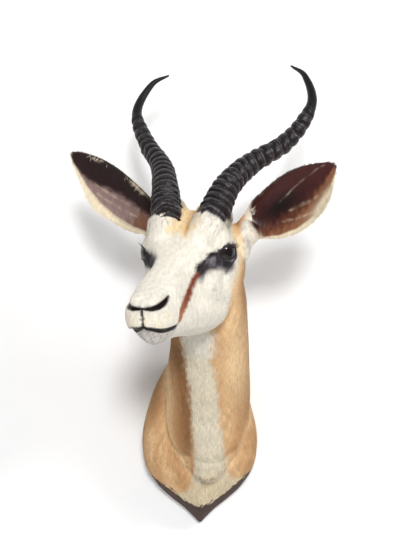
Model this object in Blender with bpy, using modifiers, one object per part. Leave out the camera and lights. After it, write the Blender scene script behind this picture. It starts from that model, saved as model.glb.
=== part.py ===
"""Springbok shoulder mount: head, ears, neck and shoulders on a wall board.

The object frame has +Z up and the wall at y = 0. The animal looks out along -Y,
and "left" and "right" are the animal's own sides, so its left is at +X.
The head is modelled in its own frame and then turned: x across, y back from
the nose, z up from the eye line.
"""
import math

import bmesh
import bpy
from mathutils import Matrix, Vector

MM = 0.001
FIT_GAP = 0.3

EYE_LINE_CENTRE = (-17.0, -350.0, 279.5)
HEAD_YAW = -19.7
HEAD_PITCH = 11.6
HEAD_ROLL = 0.3

# y, top, brow (x, z), widest (x, z), jaw (x, z), bottom, in millimetres
HEAD_STATIONS = [
    (-147, -33, (9, -34), (13, -40), (9, -50), -54),
    (-142, -26, (15, -27), (21, -37), (17, -54), -61),
    (-132, -20, (18, -22), (25, -34), (22, -60), -73),
    (-118, -15, (20, -19), (27, -34), (26, -62), -80),
    (-98, -9, (21, -13), (28, -29), (27, -63), -82),
    (-75, 1, (19, -4), (28, -26), (28, -66), -84),
    (-50, 13, (21, 7), (30, -20), (31, -72), -88),
    (-28, 24, (28, 20), (42, -12), (35, -76), -93),
    (-8, 34, (37, 28), (51, -4), (39, -78), -97),
    (10, 43, (42, 34), (55, -2), (43, -78), -99),
    (28, 50, (41, 41), (56, 0), (46, -72), -96),
    (48, 50, (38, 41), (56, 4), (48, -62), -88),
    (66, 42, (36, 35), (55, 0), (48, -52), -78),
    (84, 26, (30, 20), (48, -12), (40, -50), -68),
    (100, 2, (16, 0), (28, -20), (22, -40), -50),
]
HEAD_LOOP_POINTS = 36

# centre (x, y, z), half width, depth to the throat, depth to the nape, in millimetres
NECK_STATIONS = [
    ((2, -300, 270), 45, 46, 44),
    ((8, -262, 232), 52, 58, 58),
    ((14, -205, 178), 52, 65, 74),
    ((13, -170, 130), 56, 66, 90),
    ((13, -145, 88), 58, 62, 100),
    ((12, -128, 52), 57, 58, 96),
    ((12, -118, 28), 52, 54, 86),
    ((12, -112, 8), 43, 46, 70),
    ((12, -108, -10), 32, 36, 50),
    ((12, -105, -25), 20, 22, 30),
    ((12, -104, -34), 8, 9, 12),
]
NECK_LOOP_POINTS = 32

# the shoulder outline from its top to its lower point: x, z in millimetres
SHOULDER_OUTLINE = [
    (0, 140),
    (36, 128),
    (62, 93),
    (78, 50),
    (85, 10),
    (80, -37),
    (64, -67),
    (44, -87),
    (23, -104),
    (10, -117),
    (0, -126),
]
SHOULDER_LOOP_POINTS = 54
SHOULDER_CENTRE_Z = 20
# y, share of the outline's width, top, bottom, in millimetres
SHOULDER_STATIONS = [
    (-1.5, 0.98, 138, -125),
    (-20, 1.0, 143, -121),
    (-45, 1.01, 146, -107),
    (-70, 0.97, 146, -87),
    (-92, 0.86, 138, -60),
    (-108, 0.64, 118, -32),
    (-118, 0.32, 90, 0),
]

EAR_BASE = (60, 62, 26)
LEFT_EAR_TIP = (176, 70, 101)
RIGHT_EAR_TIP = (177, 70, 126)
EAR_WALL = 5.0
# share of the length, half width, cup depth, in millimetres
EAR_STATIONS = [
    (-0.16, 12, 12),
    (-0.04, 15, 16),
    (0.08, 22, 21),
    (0.2, 30, 22),
    (0.38, 35, 19),
    (0.56, 34, 15),
    (0.72, 27, 11),
    (0.86, 17, 7),
    (0.96, 8, 3),
    (1.0, 3, 1),
]
EAR_LOWER_FULLNESS = 1.28
EAR_COLUMNS = 10
EAR_FACING = (0.25, -1.0, 0.1)
EAR_BUTT_CENTRE = (61, 62, 21)
EAR_BUTT_RADII = (20, 18, 19)
EAR_ROOT_CENTRE = (60, 57, 3)
EAR_ROOT_RADII = (11, 15, 23)

EYE_CENTRE = (44.8, 10.4, 4)
EYE_RADIUS = 17.0
EYE_TURN = 35.0
EYE_TILT = 6.0
LID_RADII = (19, 21.5, 18)
EYE_OPENING_REACH = 15.5
EYE_OPENING_RADII = (9, 13.5, 8.5)

# bends of each horn from the skull to its tip: x, y, z in millimetres
LEFT_HORN_PATH = [
    (32, 27, 49),
    (41, 59, 79),
    (61, 98, 102),
    (100, 141, 127),
    (124, 176, 169),
    (111, 201, 205),
    (88, 217, 220),
]
RIGHT_HORN_PATH = [
    (-30, 26, 52),
    (-43, 59, 79),
    (-63, 101, 102),
    (-97, 141, 128),
    (-123, 173, 169),
    (-111, 203, 205),
    (-89, 217, 217),
]
HORN_BASE_RADIUS = 18.8
HORN_TIP_RADIUS = 1.2
HORN_TAPER = 0.97
HORN_ROOT = 16.0
HORN_RINGS = 17
HORN_RINGED_SHARE = 0.66
HORN_RING_HEIGHT = 2.4
HORN_STEPS_A_RING = 3
HORN_TIP_STEPS = 12
HORN_SIDES = 10
HORN_PROBE_SHARE = 0.01

FORM_SEGMENTS = 24
EYE_SEGMENTS = 22

BOARD_SHARE = 0.88
BOARD_THICKNESS = 18.0
POCKET_BACK_SPARES = 5  # how far a pocket for the board cuts behind the wall plane

CAPE_VOXEL = 3.0
CAPE_SMOOTHING_ROUNDS = 8
CAPE_SMOOTHING_STRENGTH = 0.5
CAPE_TRIANGLE_SHARE = 0.036


def clear_scene():
    for thing in list(bpy.data.objects):
        bpy.data.objects.remove(thing, do_unlink=True)


def new_collection(name):
    collection = bpy.data.collections.new(name)
    bpy.context.scene.collection.children.link(collection)
    return collection


def new_material(name, color, roughness, metallic=0.0):
    material = bpy.data.materials.new(name)
    material.use_nodes = True
    shader = material.node_tree.nodes["Principled BSDF"]
    shader.inputs["Base Color"].default_value = (*color, 1.0)
    shader.inputs["Roughness"].default_value = roughness
    shader.inputs["Metallic"].default_value = metallic
    return material


def new_object(name, mesh, collection, material=None):
    thing = bpy.data.objects.new(name, mesh)
    collection.objects.link(thing)
    if material:
        mesh.materials.append(material)
    return thing


def head_frame():
    """Turn from the head's own frame to the object's, in metres."""
    turn = Matrix.Rotation(math.radians(HEAD_YAW), 4, "Z")
    nod = Matrix.Rotation(math.radians(HEAD_PITCH), 4, "X")
    roll = Matrix.Rotation(math.radians(HEAD_ROLL), 4, "Y")
    place = Matrix.Translation(Vector(EYE_LINE_CENTRE) * MM)
    return place @ turn @ nod @ roll @ Matrix.Scale(MM, 4)


def curve_point(points, share):
    """Point on a smooth curve through the given points, share 0 to 1."""
    last = len(points) - 1
    at = min(share * last, last - 1e-6)
    first = int(at)
    t = at - first
    before = points[first - 1] if first else 2 * points[0] - points[1]
    after = points[first + 2] if first + 2 <= last else 2 * points[last] - points[last - 1]
    start, end = points[first], points[first + 1]
    return 0.5 * (
        2 * start
        + (end - before) * t
        + (2 * before - 5 * start + 4 * end - after) * t * t
        + (3 * start - before - 3 * end + after) * t ** 3
    )


def closed_loop(half, count):
    """Smooth closed loop from a half outline whose ends lie on x = 0."""
    right = [Vector(point) for point in half]
    left = [Vector((-point.x, *point[1:])) for point in reversed(right[1:-1])]
    ring = right + left
    wrapped = ring[-1:] + ring + ring[:2]
    share_of_one = 1.0 / (len(wrapped) - 1)
    loop = []
    for step in range(count):
        at = 1 + step * len(ring) / count
        loop.append(curve_point(wrapped, at * share_of_one))
    return loop


def loft(loops):
    """Closed mesh through loops of equal length, with both ends capped."""
    shape = bmesh.new()
    rings = [[shape.verts.new(point) for point in loop] for loop in loops]
    for ring, following in zip(rings, rings[1:]):
        for corner in range(len(ring)):
            nearby = (corner + 1) % len(ring)
            shape.faces.new((ring[corner], ring[nearby], following[nearby], following[corner]))
    shape.faces.new(list(reversed(rings[0])))
    shape.faces.new(rings[-1])
    bmesh.ops.recalc_face_normals(shape, faces=shape.faces)
    return shape


def ellipsoid(centre, radii, turn=None, segments=FORM_SEGMENTS):
    shape = bmesh.new()
    place = Matrix.Translation(centre) @ (turn or Matrix.Identity(4)) @ Matrix.Diagonal((*radii, 1))
    bmesh.ops.create_uvsphere(
        shape, u_segments=segments, v_segments=segments // 2, radius=1.0, matrix=place
    )
    return shape


def head_form():
    loops = []
    for y, top, brow, widest, jaw, bottom in HEAD_STATIONS:
        half = [(0, y, top), (brow[0], y, brow[1]), (widest[0], y, widest[1])]
        half += [(jaw[0], y, jaw[1]), (0, y, bottom)]
        loops.append(closed_loop(half, HEAD_LOOP_POINTS))
    return loft(loops)


def neck_form():
    centres = [Vector(station[0]) for station in NECK_STATIONS]
    loops = []
    for index, (centre, half_width, throat, nape) in enumerate(NECK_STATIONS):
        ahead = centres[min(index + 1, len(centres) - 1)]
        behind = centres[max(index - 1, 0)]
        along = (ahead - behind).normalized()
        depth_axis = along.cross(Vector((1, 0, 0))).normalized()
        loop = []
        for step in range(NECK_LOOP_POINTS):
            angle = math.tau * step / NECK_LOOP_POINTS
            across = Vector((half_width * math.cos(angle), 0, 0))
            depth = (throat if angle < math.pi else nape) * math.sin(angle)
            loop.append(Vector(centre) + across + depth_axis * depth)
        loops.append(loop)
    return loft(loops)


def shoulder_half(y, share, top, bottom):
    """Half outline at one depth, with its upper and lower parts stretched apart."""
    full_top = SHOULDER_OUTLINE[0][1] - SHOULDER_CENTRE_Z
    full_bottom = SHOULDER_CENTRE_Z - SHOULDER_OUTLINE[-1][1]
    half = []
    for x, z in SHOULDER_OUTLINE:
        rise = z - SHOULDER_CENTRE_Z
        reach = top - SHOULDER_CENTRE_Z if rise > 0 else SHOULDER_CENTRE_Z - bottom
        full = full_top if rise > 0 else full_bottom
        half.append((x * share, y, SHOULDER_CENTRE_Z + rise * reach / full))
    return half


def shoulder_form():
    loops = []
    for station in SHOULDER_STATIONS:
        loops.append(closed_loop(shoulder_half(*station), SHOULDER_LOOP_POINTS))
    return loft(loops)


def ear_form(side, tip):
    """A leaf rolled into a cup at its base, opening forward and outward."""
    base = Vector(EAR_BASE)
    along = Vector(tip) - base
    facing = Vector(EAR_FACING)
    facing = (facing - facing.project(along)).normalized()
    across = along.normalized().cross(facing)
    shape = bmesh.new()
    rows = []
    for share, half_width, depth in EAR_STATIONS:
        middle = base + along * share
        row = []
        for column in range(EAR_COLUMNS + 1):
            angle = math.pi * (column / EAR_COLUMNS - 0.5)
            back = facing * (-depth * math.cos(angle))
            spread = half_width * math.sin(angle)
            if angle > 0:
                spread *= EAR_LOWER_FULLNESS
            point = middle + across * spread + back
            row.append(shape.verts.new((side * point.x, point.y, point.z)))
        rows.append(row)
    for row, following in zip(rows, rows[1:]):
        for column in range(EAR_COLUMNS):
            corners = [row[column], row[column + 1], following[column + 1], following[column]]
            shape.faces.new(corners)
    bmesh.ops.recalc_face_normals(shape, faces=shape.faces)
    bmesh.ops.solidify(shape, geom=shape.faces[:], thickness=EAR_WALL)
    bmesh.ops.recalc_face_normals(shape, faces=shape.faces)
    return shape


def eye_turn(side):
    outward = Matrix.Rotation(math.radians(-side * EYE_TURN), 4, "Z")
    return outward @ Matrix.Rotation(math.radians(EYE_TILT), 4, "X")


def sided(point, side):
    return Vector((side * point[0], point[1], point[2]))


def cape_body():
    """All the forms of the skin in one mesh, in the object's frame."""
    whole = bmesh.new()
    to_object = head_frame()
    forms = [(head_form(), to_object)]
    for side, tip in ((1, LEFT_EAR_TIP), (-1, RIGHT_EAR_TIP)):
        forms.append((ear_form(side, tip), to_object))
        forms.append((ellipsoid(sided(EAR_BUTT_CENTRE, side), EAR_BUTT_RADII), to_object))
        forms.append((ellipsoid(sided(EAR_ROOT_CENTRE, side), EAR_ROOT_RADII), to_object))
        forms.append((ellipsoid(sided(EYE_CENTRE, side), LID_RADII, eye_turn(side)), to_object))
    scale = Matrix.Scale(MM, 4)
    forms.append((neck_form(), scale))
    forms.append((shoulder_form(), scale))
    for form, placement in forms:
        form.transform(placement)
        piece = bpy.data.meshes.new("form")
        form.to_mesh(piece)
        form.free()
        whole.from_mesh(piece)
        bpy.data.meshes.remove(piece)
    mesh = bpy.data.meshes.new("cape")
    whole.to_mesh(mesh)
    whole.free()
    return mesh


def horn_mesh(name, path, spare=0.0):
    """A curved, tapering and ringed horn whose root runs into the skull."""
    points = [Vector(point) for point in path]
    root = points[0] - (points[1] - points[0]).normalized() * (HORN_ROOT + spare)
    guide = Vector((1, 0, 0))
    ringed = HORN_RINGS * HORN_STEPS_A_RING
    shares = [HORN_RINGED_SHARE * step / ringed for step in range(ringed)]
    smooth_share = 1 - HORN_RINGED_SHARE
    for step in range(HORN_TIP_STEPS + 1):
        shares.append(HORN_RINGED_SHARE + smooth_share * step / HORN_TIP_STEPS)
    loops = []
    for share in shares:
        centre = curve_point(points, share)
        beyond = curve_point(points, min(share + HORN_PROBE_SHARE, 1.0))
        before = curve_point(points, max(share - HORN_PROBE_SHARE, 0.0))
        ahead = (beyond - before).normalized()
        guide = (guide - guide.project(ahead)).normalized()
        upright = ahead.cross(guide)
        radius = HORN_TIP_RADIUS + (HORN_BASE_RADIUS - HORN_TIP_RADIUS) * (1 - share) ** HORN_TAPER
        if share < HORN_RINGED_SHARE:
            fade = 1 - (share / HORN_RINGED_SHARE) ** 3
            wave = math.cos(math.tau * HORN_RINGS * share / HORN_RINGED_SHARE)
            radius += HORN_RING_HEIGHT * fade * 0.5 * (1 - wave)
        radius += spare
        if share == 0:
            loops.append(horn_ring(root, guide, upright, radius))
        loops.append(horn_ring(centre, guide, upright, radius))
    shape = loft(loops)
    shape.transform(head_frame())
    mesh = bpy.data.meshes.new(name)
    shape.to_mesh(mesh)
    shape.free()
    return mesh


def horn_ring(centre, guide, upright, radius):
    ring = []
    for side in range(HORN_SIDES):
        angle = math.tau * side / HORN_SIDES
        ring.append(centre + (guide * math.cos(angle) + upright * math.sin(angle)) * radius)
    return ring


def board_mesh(name, spare=0.0):
    """A shield-shaped board with its back on the wall plane."""
    loop = closed_loop([(x, 0, z) for x, z in SHOULDER_OUTLINE], 4 * (len(SHOULDER_OUTLINE) - 1))
    middle = Vector((0, 0, SHOULDER_CENTRE_Z))
    back = []
    front = []
    for point in loop:
        rim = middle + (point - middle) * BOARD_SHARE
        rim += (rim - middle).normalized() * spare
        back.append(rim + Vector((0, POCKET_BACK_SPARES * spare, 0)))
        front.append(rim + Vector((0, -BOARD_THICKNESS - spare, 0)))
    shape = loft([back, front])
    shape.transform(Matrix.Scale(MM, 4))
    mesh = bpy.data.meshes.new(name)
    shape.to_mesh(mesh)
    shape.free()
    return mesh


def sphere_mesh(name, centre, radii, turn, segments=EYE_SEGMENTS):
    shape = ellipsoid(centre, radii, turn, segments)
    shape.transform(head_frame())
    mesh = bpy.data.meshes.new(name)
    shape.to_mesh(mesh)
    shape.free()
    return mesh


def add_cutter(thing, cutter):
    cutter.hide_render = True
    cutter.display_type = "WIRE"
    cut = thing.modifiers.new("cut " + cutter.name, "BOOLEAN")
    cut.operation = "DIFFERENCE"
    cut.solver = "EXACT"
    cut.object = cutter


def build_cape(parts, cutters):
    coat = new_material("coat", (0.60, 0.38, 0.20), 0.9)
    cape = new_object("cape", cape_body(), parts, coat)
    blend = cape.modifiers.new("one skin", "REMESH")
    blend.mode = "VOXEL"
    blend.voxel_size = CAPE_VOXEL * MM
    soften = cape.modifiers.new("soft folds", "SMOOTH")
    soften.factor = CAPE_SMOOTHING_STRENGTH
    soften.iterations = CAPE_SMOOTHING_ROUNDS
    thin = cape.modifiers.new("fewer facets", "DECIMATE")
    thin.ratio = CAPE_TRIANGLE_SHARE
    for side, name, path in ((1, "left", LEFT_HORN_PATH), (-1, "right", RIGHT_HORN_PATH)):
        horn = new_object(name + " horn seat", horn_mesh("seat", path, FIT_GAP), cutters)
        add_cutter(cape, horn)
        radii = [EYE_RADIUS + FIT_GAP] * 3
        ball = sphere_mesh("socket", sided(EYE_CENTRE, side), radii, eye_turn(side))
        add_cutter(cape, new_object(name + " eye socket", ball, cutters))
        ahead = eye_turn(side) @ Vector((side * EYE_OPENING_REACH, 0, 0))
        slit = sphere_mesh("opening", sided(EYE_CENTRE, side) + ahead, EYE_OPENING_RADII, eye_turn(side))
        add_cutter(cape, new_object(name + " eye opening", slit, cutters))
    pocket = new_object("board pocket", board_mesh("pocket", FIT_GAP), cutters)
    add_cutter(cape, pocket)
    return cape


def build_eyes(parts):
    glass = new_material("eye glass", (0.05, 0.03, 0.02), 0.1)
    for side, name in ((1, "left_eye"), (-1, "right_eye")):
        mesh = sphere_mesh(name, sided(EYE_CENTRE, side), [EYE_RADIUS] * 3, eye_turn(side))
        mesh.shade_smooth()
        new_object(name, mesh, parts, glass)


def build_horns(parts):
    keratin = new_material("horn", (0.05, 0.04, 0.04), 0.55)
    for name, path in (("left_horn", LEFT_HORN_PATH), ("right_horn", RIGHT_HORN_PATH)):
        mesh = horn_mesh(name, path)
        mesh.shade_smooth()
        new_object(name, mesh, parts, keratin)


def build_backboard(parts):
    wood = new_material("board wood", (0.36, 0.22, 0.12), 0.65)
    new_object("backboard", board_mesh("backboard"), parts, wood)


def main():
    clear_scene()
    parts = new_collection("springbok shoulder mount")
    cutters = new_collection("cutters")
    build_cape(parts, cutters)
    build_eyes(parts)
    build_horns(parts)
    build_backboard(parts)


main()
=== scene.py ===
import math

import bmesh
import bpy
import numpy as np
from mathutils import Matrix, Vector


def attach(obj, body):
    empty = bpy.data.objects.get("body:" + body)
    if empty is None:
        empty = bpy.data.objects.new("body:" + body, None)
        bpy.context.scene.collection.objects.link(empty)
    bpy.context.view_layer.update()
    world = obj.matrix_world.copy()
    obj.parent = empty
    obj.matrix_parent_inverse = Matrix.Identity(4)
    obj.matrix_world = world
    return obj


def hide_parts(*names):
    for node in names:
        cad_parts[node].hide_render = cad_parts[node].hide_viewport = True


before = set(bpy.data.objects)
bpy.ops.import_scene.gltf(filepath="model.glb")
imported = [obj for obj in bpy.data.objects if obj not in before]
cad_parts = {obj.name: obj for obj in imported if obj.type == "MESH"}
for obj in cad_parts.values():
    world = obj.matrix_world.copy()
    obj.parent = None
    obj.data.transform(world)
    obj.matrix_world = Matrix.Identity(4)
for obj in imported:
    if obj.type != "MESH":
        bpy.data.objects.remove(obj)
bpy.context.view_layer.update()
mm = 0.001
seamGap = 1e-4  # in the unit of the form being wrapped
scene = bpy.context.scene

# The head is shaped in its own frame in millimetres: x across, y back from the nose,
# z up from the eye line. The animal's left is at +X and it looks out along -Y.
headPose = {"eyeLine": (-17.0, -350.0, 279.5), "yaw": -19.7, "pitch": 11.6, "roll": 0.3}


def headRotation():
    turn = Matrix.Rotation(math.radians(headPose["yaw"]), 3, "Z")
    nod = Matrix.Rotation(math.radians(headPose["pitch"]), 3, "X")
    roll = Matrix.Rotation(math.radians(headPose["roll"]), 3, "Y")
    return np.array(turn @ nod @ roll)


headTurn = headRotation()


def fromHead(spots):
    return spots @ headTurn.T + np.array(headPose["eyeLine"])


def toHead(spots):
    return (spots - np.array(headPose["eyeLine"])) @ headTurn


def smoothStep(low, high, value):
    share = np.clip((value - low) / (high - low), 0.0, 1.0)
    return share * share * (3 - 2 * share)


def unit(vectors):
    return vectors / np.maximum(np.linalg.norm(vectors, axis=-1, keepdims=True), 1e-9)


def blendFour(before, start, end, after, t):
    bend = 2 * before - 5 * start + 4 * end - after
    cubic = 3 * start - before - 3 * end + after
    return 0.5 * (2 * start + (end - before) * t + bend * t * t + cubic * t ** 3)


def alongRows(rows, share):  # smooth curve through rows of values, share from 0 to 1
    rows = np.asarray(rows, float)
    padded = np.vstack([2 * rows[:1] - rows[1:2], rows, 2 * rows[-1:] - rows[-2:-1]])
    at = np.clip(share, 0, 1) * (len(rows) - 1)
    first = np.minimum(at.astype(int), len(rows) - 2)
    t = (at - first)[:, None]
    return blendFour(padded[first], padded[first + 1], padded[first + 2], padded[first + 3], t)


def aroundRings(rings, share):  # rings: one closed ring of points for each share
    count = rings.shape[1]
    at = (share % 1.0) * count
    first = np.minimum(at.astype(int), count - 1)
    t = (at - first)[:, None]
    row = np.arange(len(rings))
    corners = [rings[row, (first + step) % count] for step in (-1, 0, 1, 2)]
    return blendFour(*corners, t)


def mappedGrid(columns, rows, place):
    shape = bmesh.new()
    bmesh.ops.create_grid(shape, x_segments=columns, y_segments=rows, size=0.5)
    flat = np.clip(np.array([corner.co[:2] for corner in shape.verts]) + 0.5, 0, 1)
    for corner, spot in zip(shape.verts, place(flat[:, 0], flat[:, 1])):
        corner.co = spot
    bmesh.ops.remove_doubles(shape, verts=shape.verts, dist=seamGap)
    bmesh.ops.holes_fill(shape, edges=[edge for edge in shape.edges if edge.is_boundary])
    bmesh.ops.recalc_face_normals(shape, faces=shape.faces)
    return shape


def moved(shape, change):  # every corner of a bmesh through a function of positions
    spots = change(np.array([corner.co[:] for corner in shape.verts]))
    for corner, spot in zip(shape.verts, spots):
        corner.co = spot
    return shape


def joined(name, shapes):
    whole = bmesh.new()
    for shape in shapes:
        part = bpy.data.meshes.new("part")
        shape.to_mesh(part)
        shape.free()
        whole.from_mesh(part)
        bpy.data.meshes.remove(part)
    mesh = bpy.data.meshes.new(name)
    whole.to_mesh(mesh)
    whole.free()
    return mesh


def addPiece(name, mesh, material):
    piece = bpy.data.objects.new(name, mesh)
    scene.collection.objects.link(piece)
    if material:
        mesh.materials.append(material)
    mesh.shade_smooth()
    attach(piece, "root")
    return piece


def applied(piece):  # the mesh with its modifiers in it
    done = bpy.data.meshes.new_from_object(piece.evaluated_get(bpy.context.evaluated_depsgraph_get()))
    old = piece.data
    piece.modifiers.clear()
    piece.data = done
    bpy.data.meshes.remove(old)
    return done


def cornerValues(mesh, kind="co"):
    values = np.empty(len(mesh.vertices) * 3, np.float32)
    mesh.vertices.foreach_get(kind, values)
    return values.reshape(-1, 3).astype(float)


def setSpots(mesh, spots):
    mesh.vertices.foreach_set("co", spots.astype(np.float32).ravel())
    mesh.update()


def relax(spots, edges, strength, rounds):
    count = np.bincount(edges.ravel(), minlength=len(spots))[:, None]
    for _ in range(rounds):
        total = np.empty_like(spots)
        for axis in range(3):
            total[:, axis] = np.bincount(edges[:, 0], spots[edges[:, 1], axis], len(spots))
            total[:, axis] += np.bincount(edges[:, 1], spots[edges[:, 0], axis], len(spots))
        spots = spots + (total / count - spots) * strength[:, None]
    return spots


def fromPath(spots, path):  # distance to a bent line, and how far along it
    path = np.asarray(path, float)
    best = np.full(len(spots), 1e9)
    share = np.zeros(len(spots))
    for index, (start, end) in enumerate(zip(path, path[1:])):
        run = end - start
        t = np.clip((spots - start) @ run / (run @ run), 0, 1)
        gap = np.linalg.norm(spots - start - t[:, None] * run, axis=1)
        nearer = gap < best
        best[nearer] = gap[nearer]
        share[nearer] = (index + t[nearer]) / (len(path) - 1)
    return best, share


def pathGap(spots, path):
    return fromPath(spots, path)[0]


def bell(distance, width):
    return np.exp(-((distance / width) ** 2))


def closeTo(spots, centre, width):  # 1 at a place and less round it
    return bell(np.linalg.norm(spots - centre, axis=1), width)


def ripple(spots, size, seed=0):  # smooth noise from -1 to 1, from sums of turned waves
    draw = np.random.default_rng(seed)
    total = np.zeros(len(spots))
    for _ in range(7):
        wave = draw.normal(size=3)
        wave *= 2 * math.pi / (size * (0.6 + 0.9 * draw.random())) / np.linalg.norm(wave)
        total += np.sin(spots @ wave + 2 * math.pi * draw.random())
    return np.clip(total / 3.2, -1, 1)


def linear(red, green, blue):  # screen colour from 0 to 255 as linear light
    value = np.array([red, green, blue]) / 255
    return np.where(value <= 0.04045, value / 12.92, ((value + 0.055) / 1.055) ** 2.4)


def mixed(base, color, mask):
    return base + (color - base) * mask[:, None]


# Stage, lights and camera
stageLook = {"wall": 0.0012, "floor": -1.1, "width": 5.0, "height": 3.6, "depth": 4.0,
             "hole": (0.045, 0.055)}  # an opening behind the board, which lets light reach its back


def addNode(tree, kind, values=None):
    made = tree.nodes.new("ShaderNode" + kind)
    for socket, value in (values or {}).items():
        made.inputs[socket].default_value = value
    return made


def ranged(tree, value, given, taken=(0, 1)):  # a value from one range to another
    level = addNode(tree, "MapRange", {"From Min": taken[0], "From Max": taken[1],
                                       "To Min": given[0], "To Max": given[1]})
    tree.links.new(value, level.inputs["Value"])
    return level.outputs[0]


def newMaterial(name, roughness):
    material = bpy.data.materials.new(name)
    material.use_nodes = True
    shader = material.node_tree.nodes["Principled BSDF"]
    shader.inputs["Roughness"].default_value = roughness
    return material, material.node_tree, shader


def paleStage():
    material, tree, shader = newMaterial("pale wall", 0.95)
    shader.inputs["Base Color"].default_value = (0.9, 0.9, 0.9, 1)
    clear = addNode(tree, "BsdfTransparent")
    side = addNode(tree, "NewGeometry")
    pick = addNode(tree, "MixShader")
    surface = tree.nodes["Material Output"].inputs["Surface"]
    tree.links.new(side.outputs["Backfacing"], pick.inputs[0])
    tree.links.new(shader.outputs[0], pick.inputs[1])
    tree.links.new(clear.outputs[0], pick.inputs[2])
    tree.links.new(pick.outputs[0], surface)
    reach = list(zip(stageLook["hole"], (0.5 * stageLook["width"], 0.6 * stageLook["height"])))
    for name, turn, place, isWall in (
        ("stageWall", 90, (0, stageLook["wall"], 0), True),
        ("stageFloor", 0, (0, -stageLook["depth"] / 2, stageLook["floor"]), False),
    ):
        shape = bmesh.new()
        bmesh.ops.create_grid(shape, x_segments=3, y_segments=3, size=0.5)
        if isWall:  # three by three sheets, and the middle one is the opening
            for corner in shape.verts:
                for axis, (near, far) in enumerate(reach):
                    size = near if abs(corner.co[axis]) < 0.3 else far
                    corner.co[axis] = math.copysign(size, corner.co[axis])
            middle = [face for face in shape.faces if face.calc_center_median().length < 0.01]
            bmesh.ops.delete(shape, geom=middle, context="FACES_ONLY")
        else:
            bmesh.ops.scale(shape, verts=shape.verts, vec=(stageLook["width"], stageLook["depth"], 1))
        bmesh.ops.rotate(shape, verts=shape.verts, matrix=Matrix.Rotation(math.radians(turn), 3, "X"))
        bmesh.ops.translate(shape, verts=shape.verts, vec=place)
        mesh = bpy.data.meshes.new(name)
        shape.to_mesh(mesh)
        shape.free()
        mesh.materials.append(material)
        sheet = bpy.data.objects.new(name, mesh)
        scene.collection.objects.link(sheet)


lamps = {
    "keyFront": {"place": (0.14, -2.9, 0.95), "size": 0.35, "watts": 52},
    "keyRight": {"place": (1.86, -2.52, 1.77), "size": 0.6, "watts": 34},
    "keyLeft": {"place": (-1.9, -2.0, 1.2), "size": 1.4, "watts": 7},
    "frontFill": {"place": (0.0, -3.2, 0.1), "size": 2.2, "watts": 2},
}
studioGlow = {"seen": 0.93, "cast": 0.28}  # the surroundings as the camera sees them and as light


def addLamps():
    for name, lamp in lamps.items():
        light = bpy.data.lights.new(name, "AREA")
        light.size = lamp["size"]
        light.energy = lamp["watts"]
        holder = bpy.data.objects.new(name, light)
        scene.collection.objects.link(holder)
        holder.location = lamp["place"]
        aim = Vector((0, -0.2, 0.2)) - holder.location
        holder.rotation_euler = aim.to_track_quat("-Z", "Y").to_euler()
    world = bpy.data.worlds.new("studio")
    world.use_nodes = True
    tree = world.node_tree
    ray = addNode(tree, "LightPath").outputs["Is Camera Ray"]
    level = ranged(tree, ray, (studioGlow["cast"], studioGlow["seen"]))
    tree.nodes["Background"].inputs["Color"].default_value = (1, 1, 1, 1)
    tree.links.new(level, tree.nodes["Background"].inputs["Strength"])
    scene.world = world
    scene.view_settings.view_transform = "Standard"


photoView = {"place": (0.0078, -1.7, 0.26), "focalPixels": 1098.0, "tallPixels": 545}


def addCamera():
    lens = bpy.data.cameras.new("photoCamera")
    lens.sensor_width = 36
    lens.lens = photoView["focalPixels"] * lens.sensor_width / photoView["tallPixels"]
    camera = bpy.data.objects.new("photoCamera", lens)
    scene.collection.objects.link(camera)
    camera.location = photoView["place"]
    camera.rotation_euler = (math.pi / 2, 0, 0)
    scene.camera = camera


paleStage()
addLamps()
addCamera()
print("stage, lights and camera stand")

# Forms of the skin, the same as the solids'
headForm = {
    # y, top, brow (x, z), widest (x, z), jaw (x, z), bottom
    "stations": [
        (-147, -33, 9, -34, 13, -40, 9, -50, -54),
        (-142, -26, 15, -27, 21, -37, 17, -54, -61),
        (-132, -20, 18, -22, 25, -34, 22, -60, -73),
        (-118, -15, 20, -19, 27, -34, 26, -62, -80),
        (-98, -9, 21, -13, 28, -29, 27, -63, -82),
        (-75, 1, 19, -4, 28, -26, 28, -66, -84),
        (-50, 13, 21, 7, 30, -20, 31, -72, -88),
        (-28, 24, 28, 20, 42, -12, 35, -76, -93),
        (-8, 34, 37, 28, 51, -4, 39, -78, -97),
        (10, 43, 42, 34, 55, -2, 43, -78, -99),
        (28, 50, 41, 41, 56, 0, 46, -72, -96),
        (48, 50, 38, 41, 56, 4, 48, -62, -88),
        (66, 42, 36, 35, 55, 0, 48, -52, -78),
        (84, 26, 30, 20, 48, -12, 40, -50, -68),
        (100, 2, 16, 0, 28, -20, 22, -40, -50),
    ],
    "columns": 72,
    "rows": 110,
}
neckForm = {
    # centre (x, y, z), half width, depth to the throat, depth to the nape
    "stations": [
        (2, -300, 270, 45, 46, 44),
        (8, -262, 232, 52, 58, 58),
        (14, -205, 178, 52, 65, 74),
        (13, -170, 130, 56, 66, 90),
        (13, -145, 88, 58, 62, 100),
        (12, -128, 52, 57, 58, 96),
        (12, -118, 28, 52, 54, 86),
        (12, -112, 8, 43, 46, 70),
        (12, -110, -10, 33, 39, 50),
        (12, -110, -24, 26, 31, 30),
        (12, -108, -35, 14, 20, 12),
    ],
    "columns": 64,
    "rows": 90,
}
shoulderForm = {
    "outline": [(0, 140), (36, 128), (62, 93), (78, 50), (85, 10), (80, -37), (64, -67), (44, -87),
                (23, -104), (10, -117), (0, -126)],
    "centreZ": 20,
    # y, share of the width, top, bottom
    "stations": [
        (-1.5, 0.98, 138, -125),
        (-20, 1.0, 143, -121),
        (-45, 1.01, 146, -107),
        (-70, 0.97, 146, -87),
        (-92, 0.86, 138, -60),
        (-108, 0.64, 118, -32),
        (-118, 0.32, 90, 0),
    ],
    "columns": 90,
    "rows": 40,
}
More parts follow.
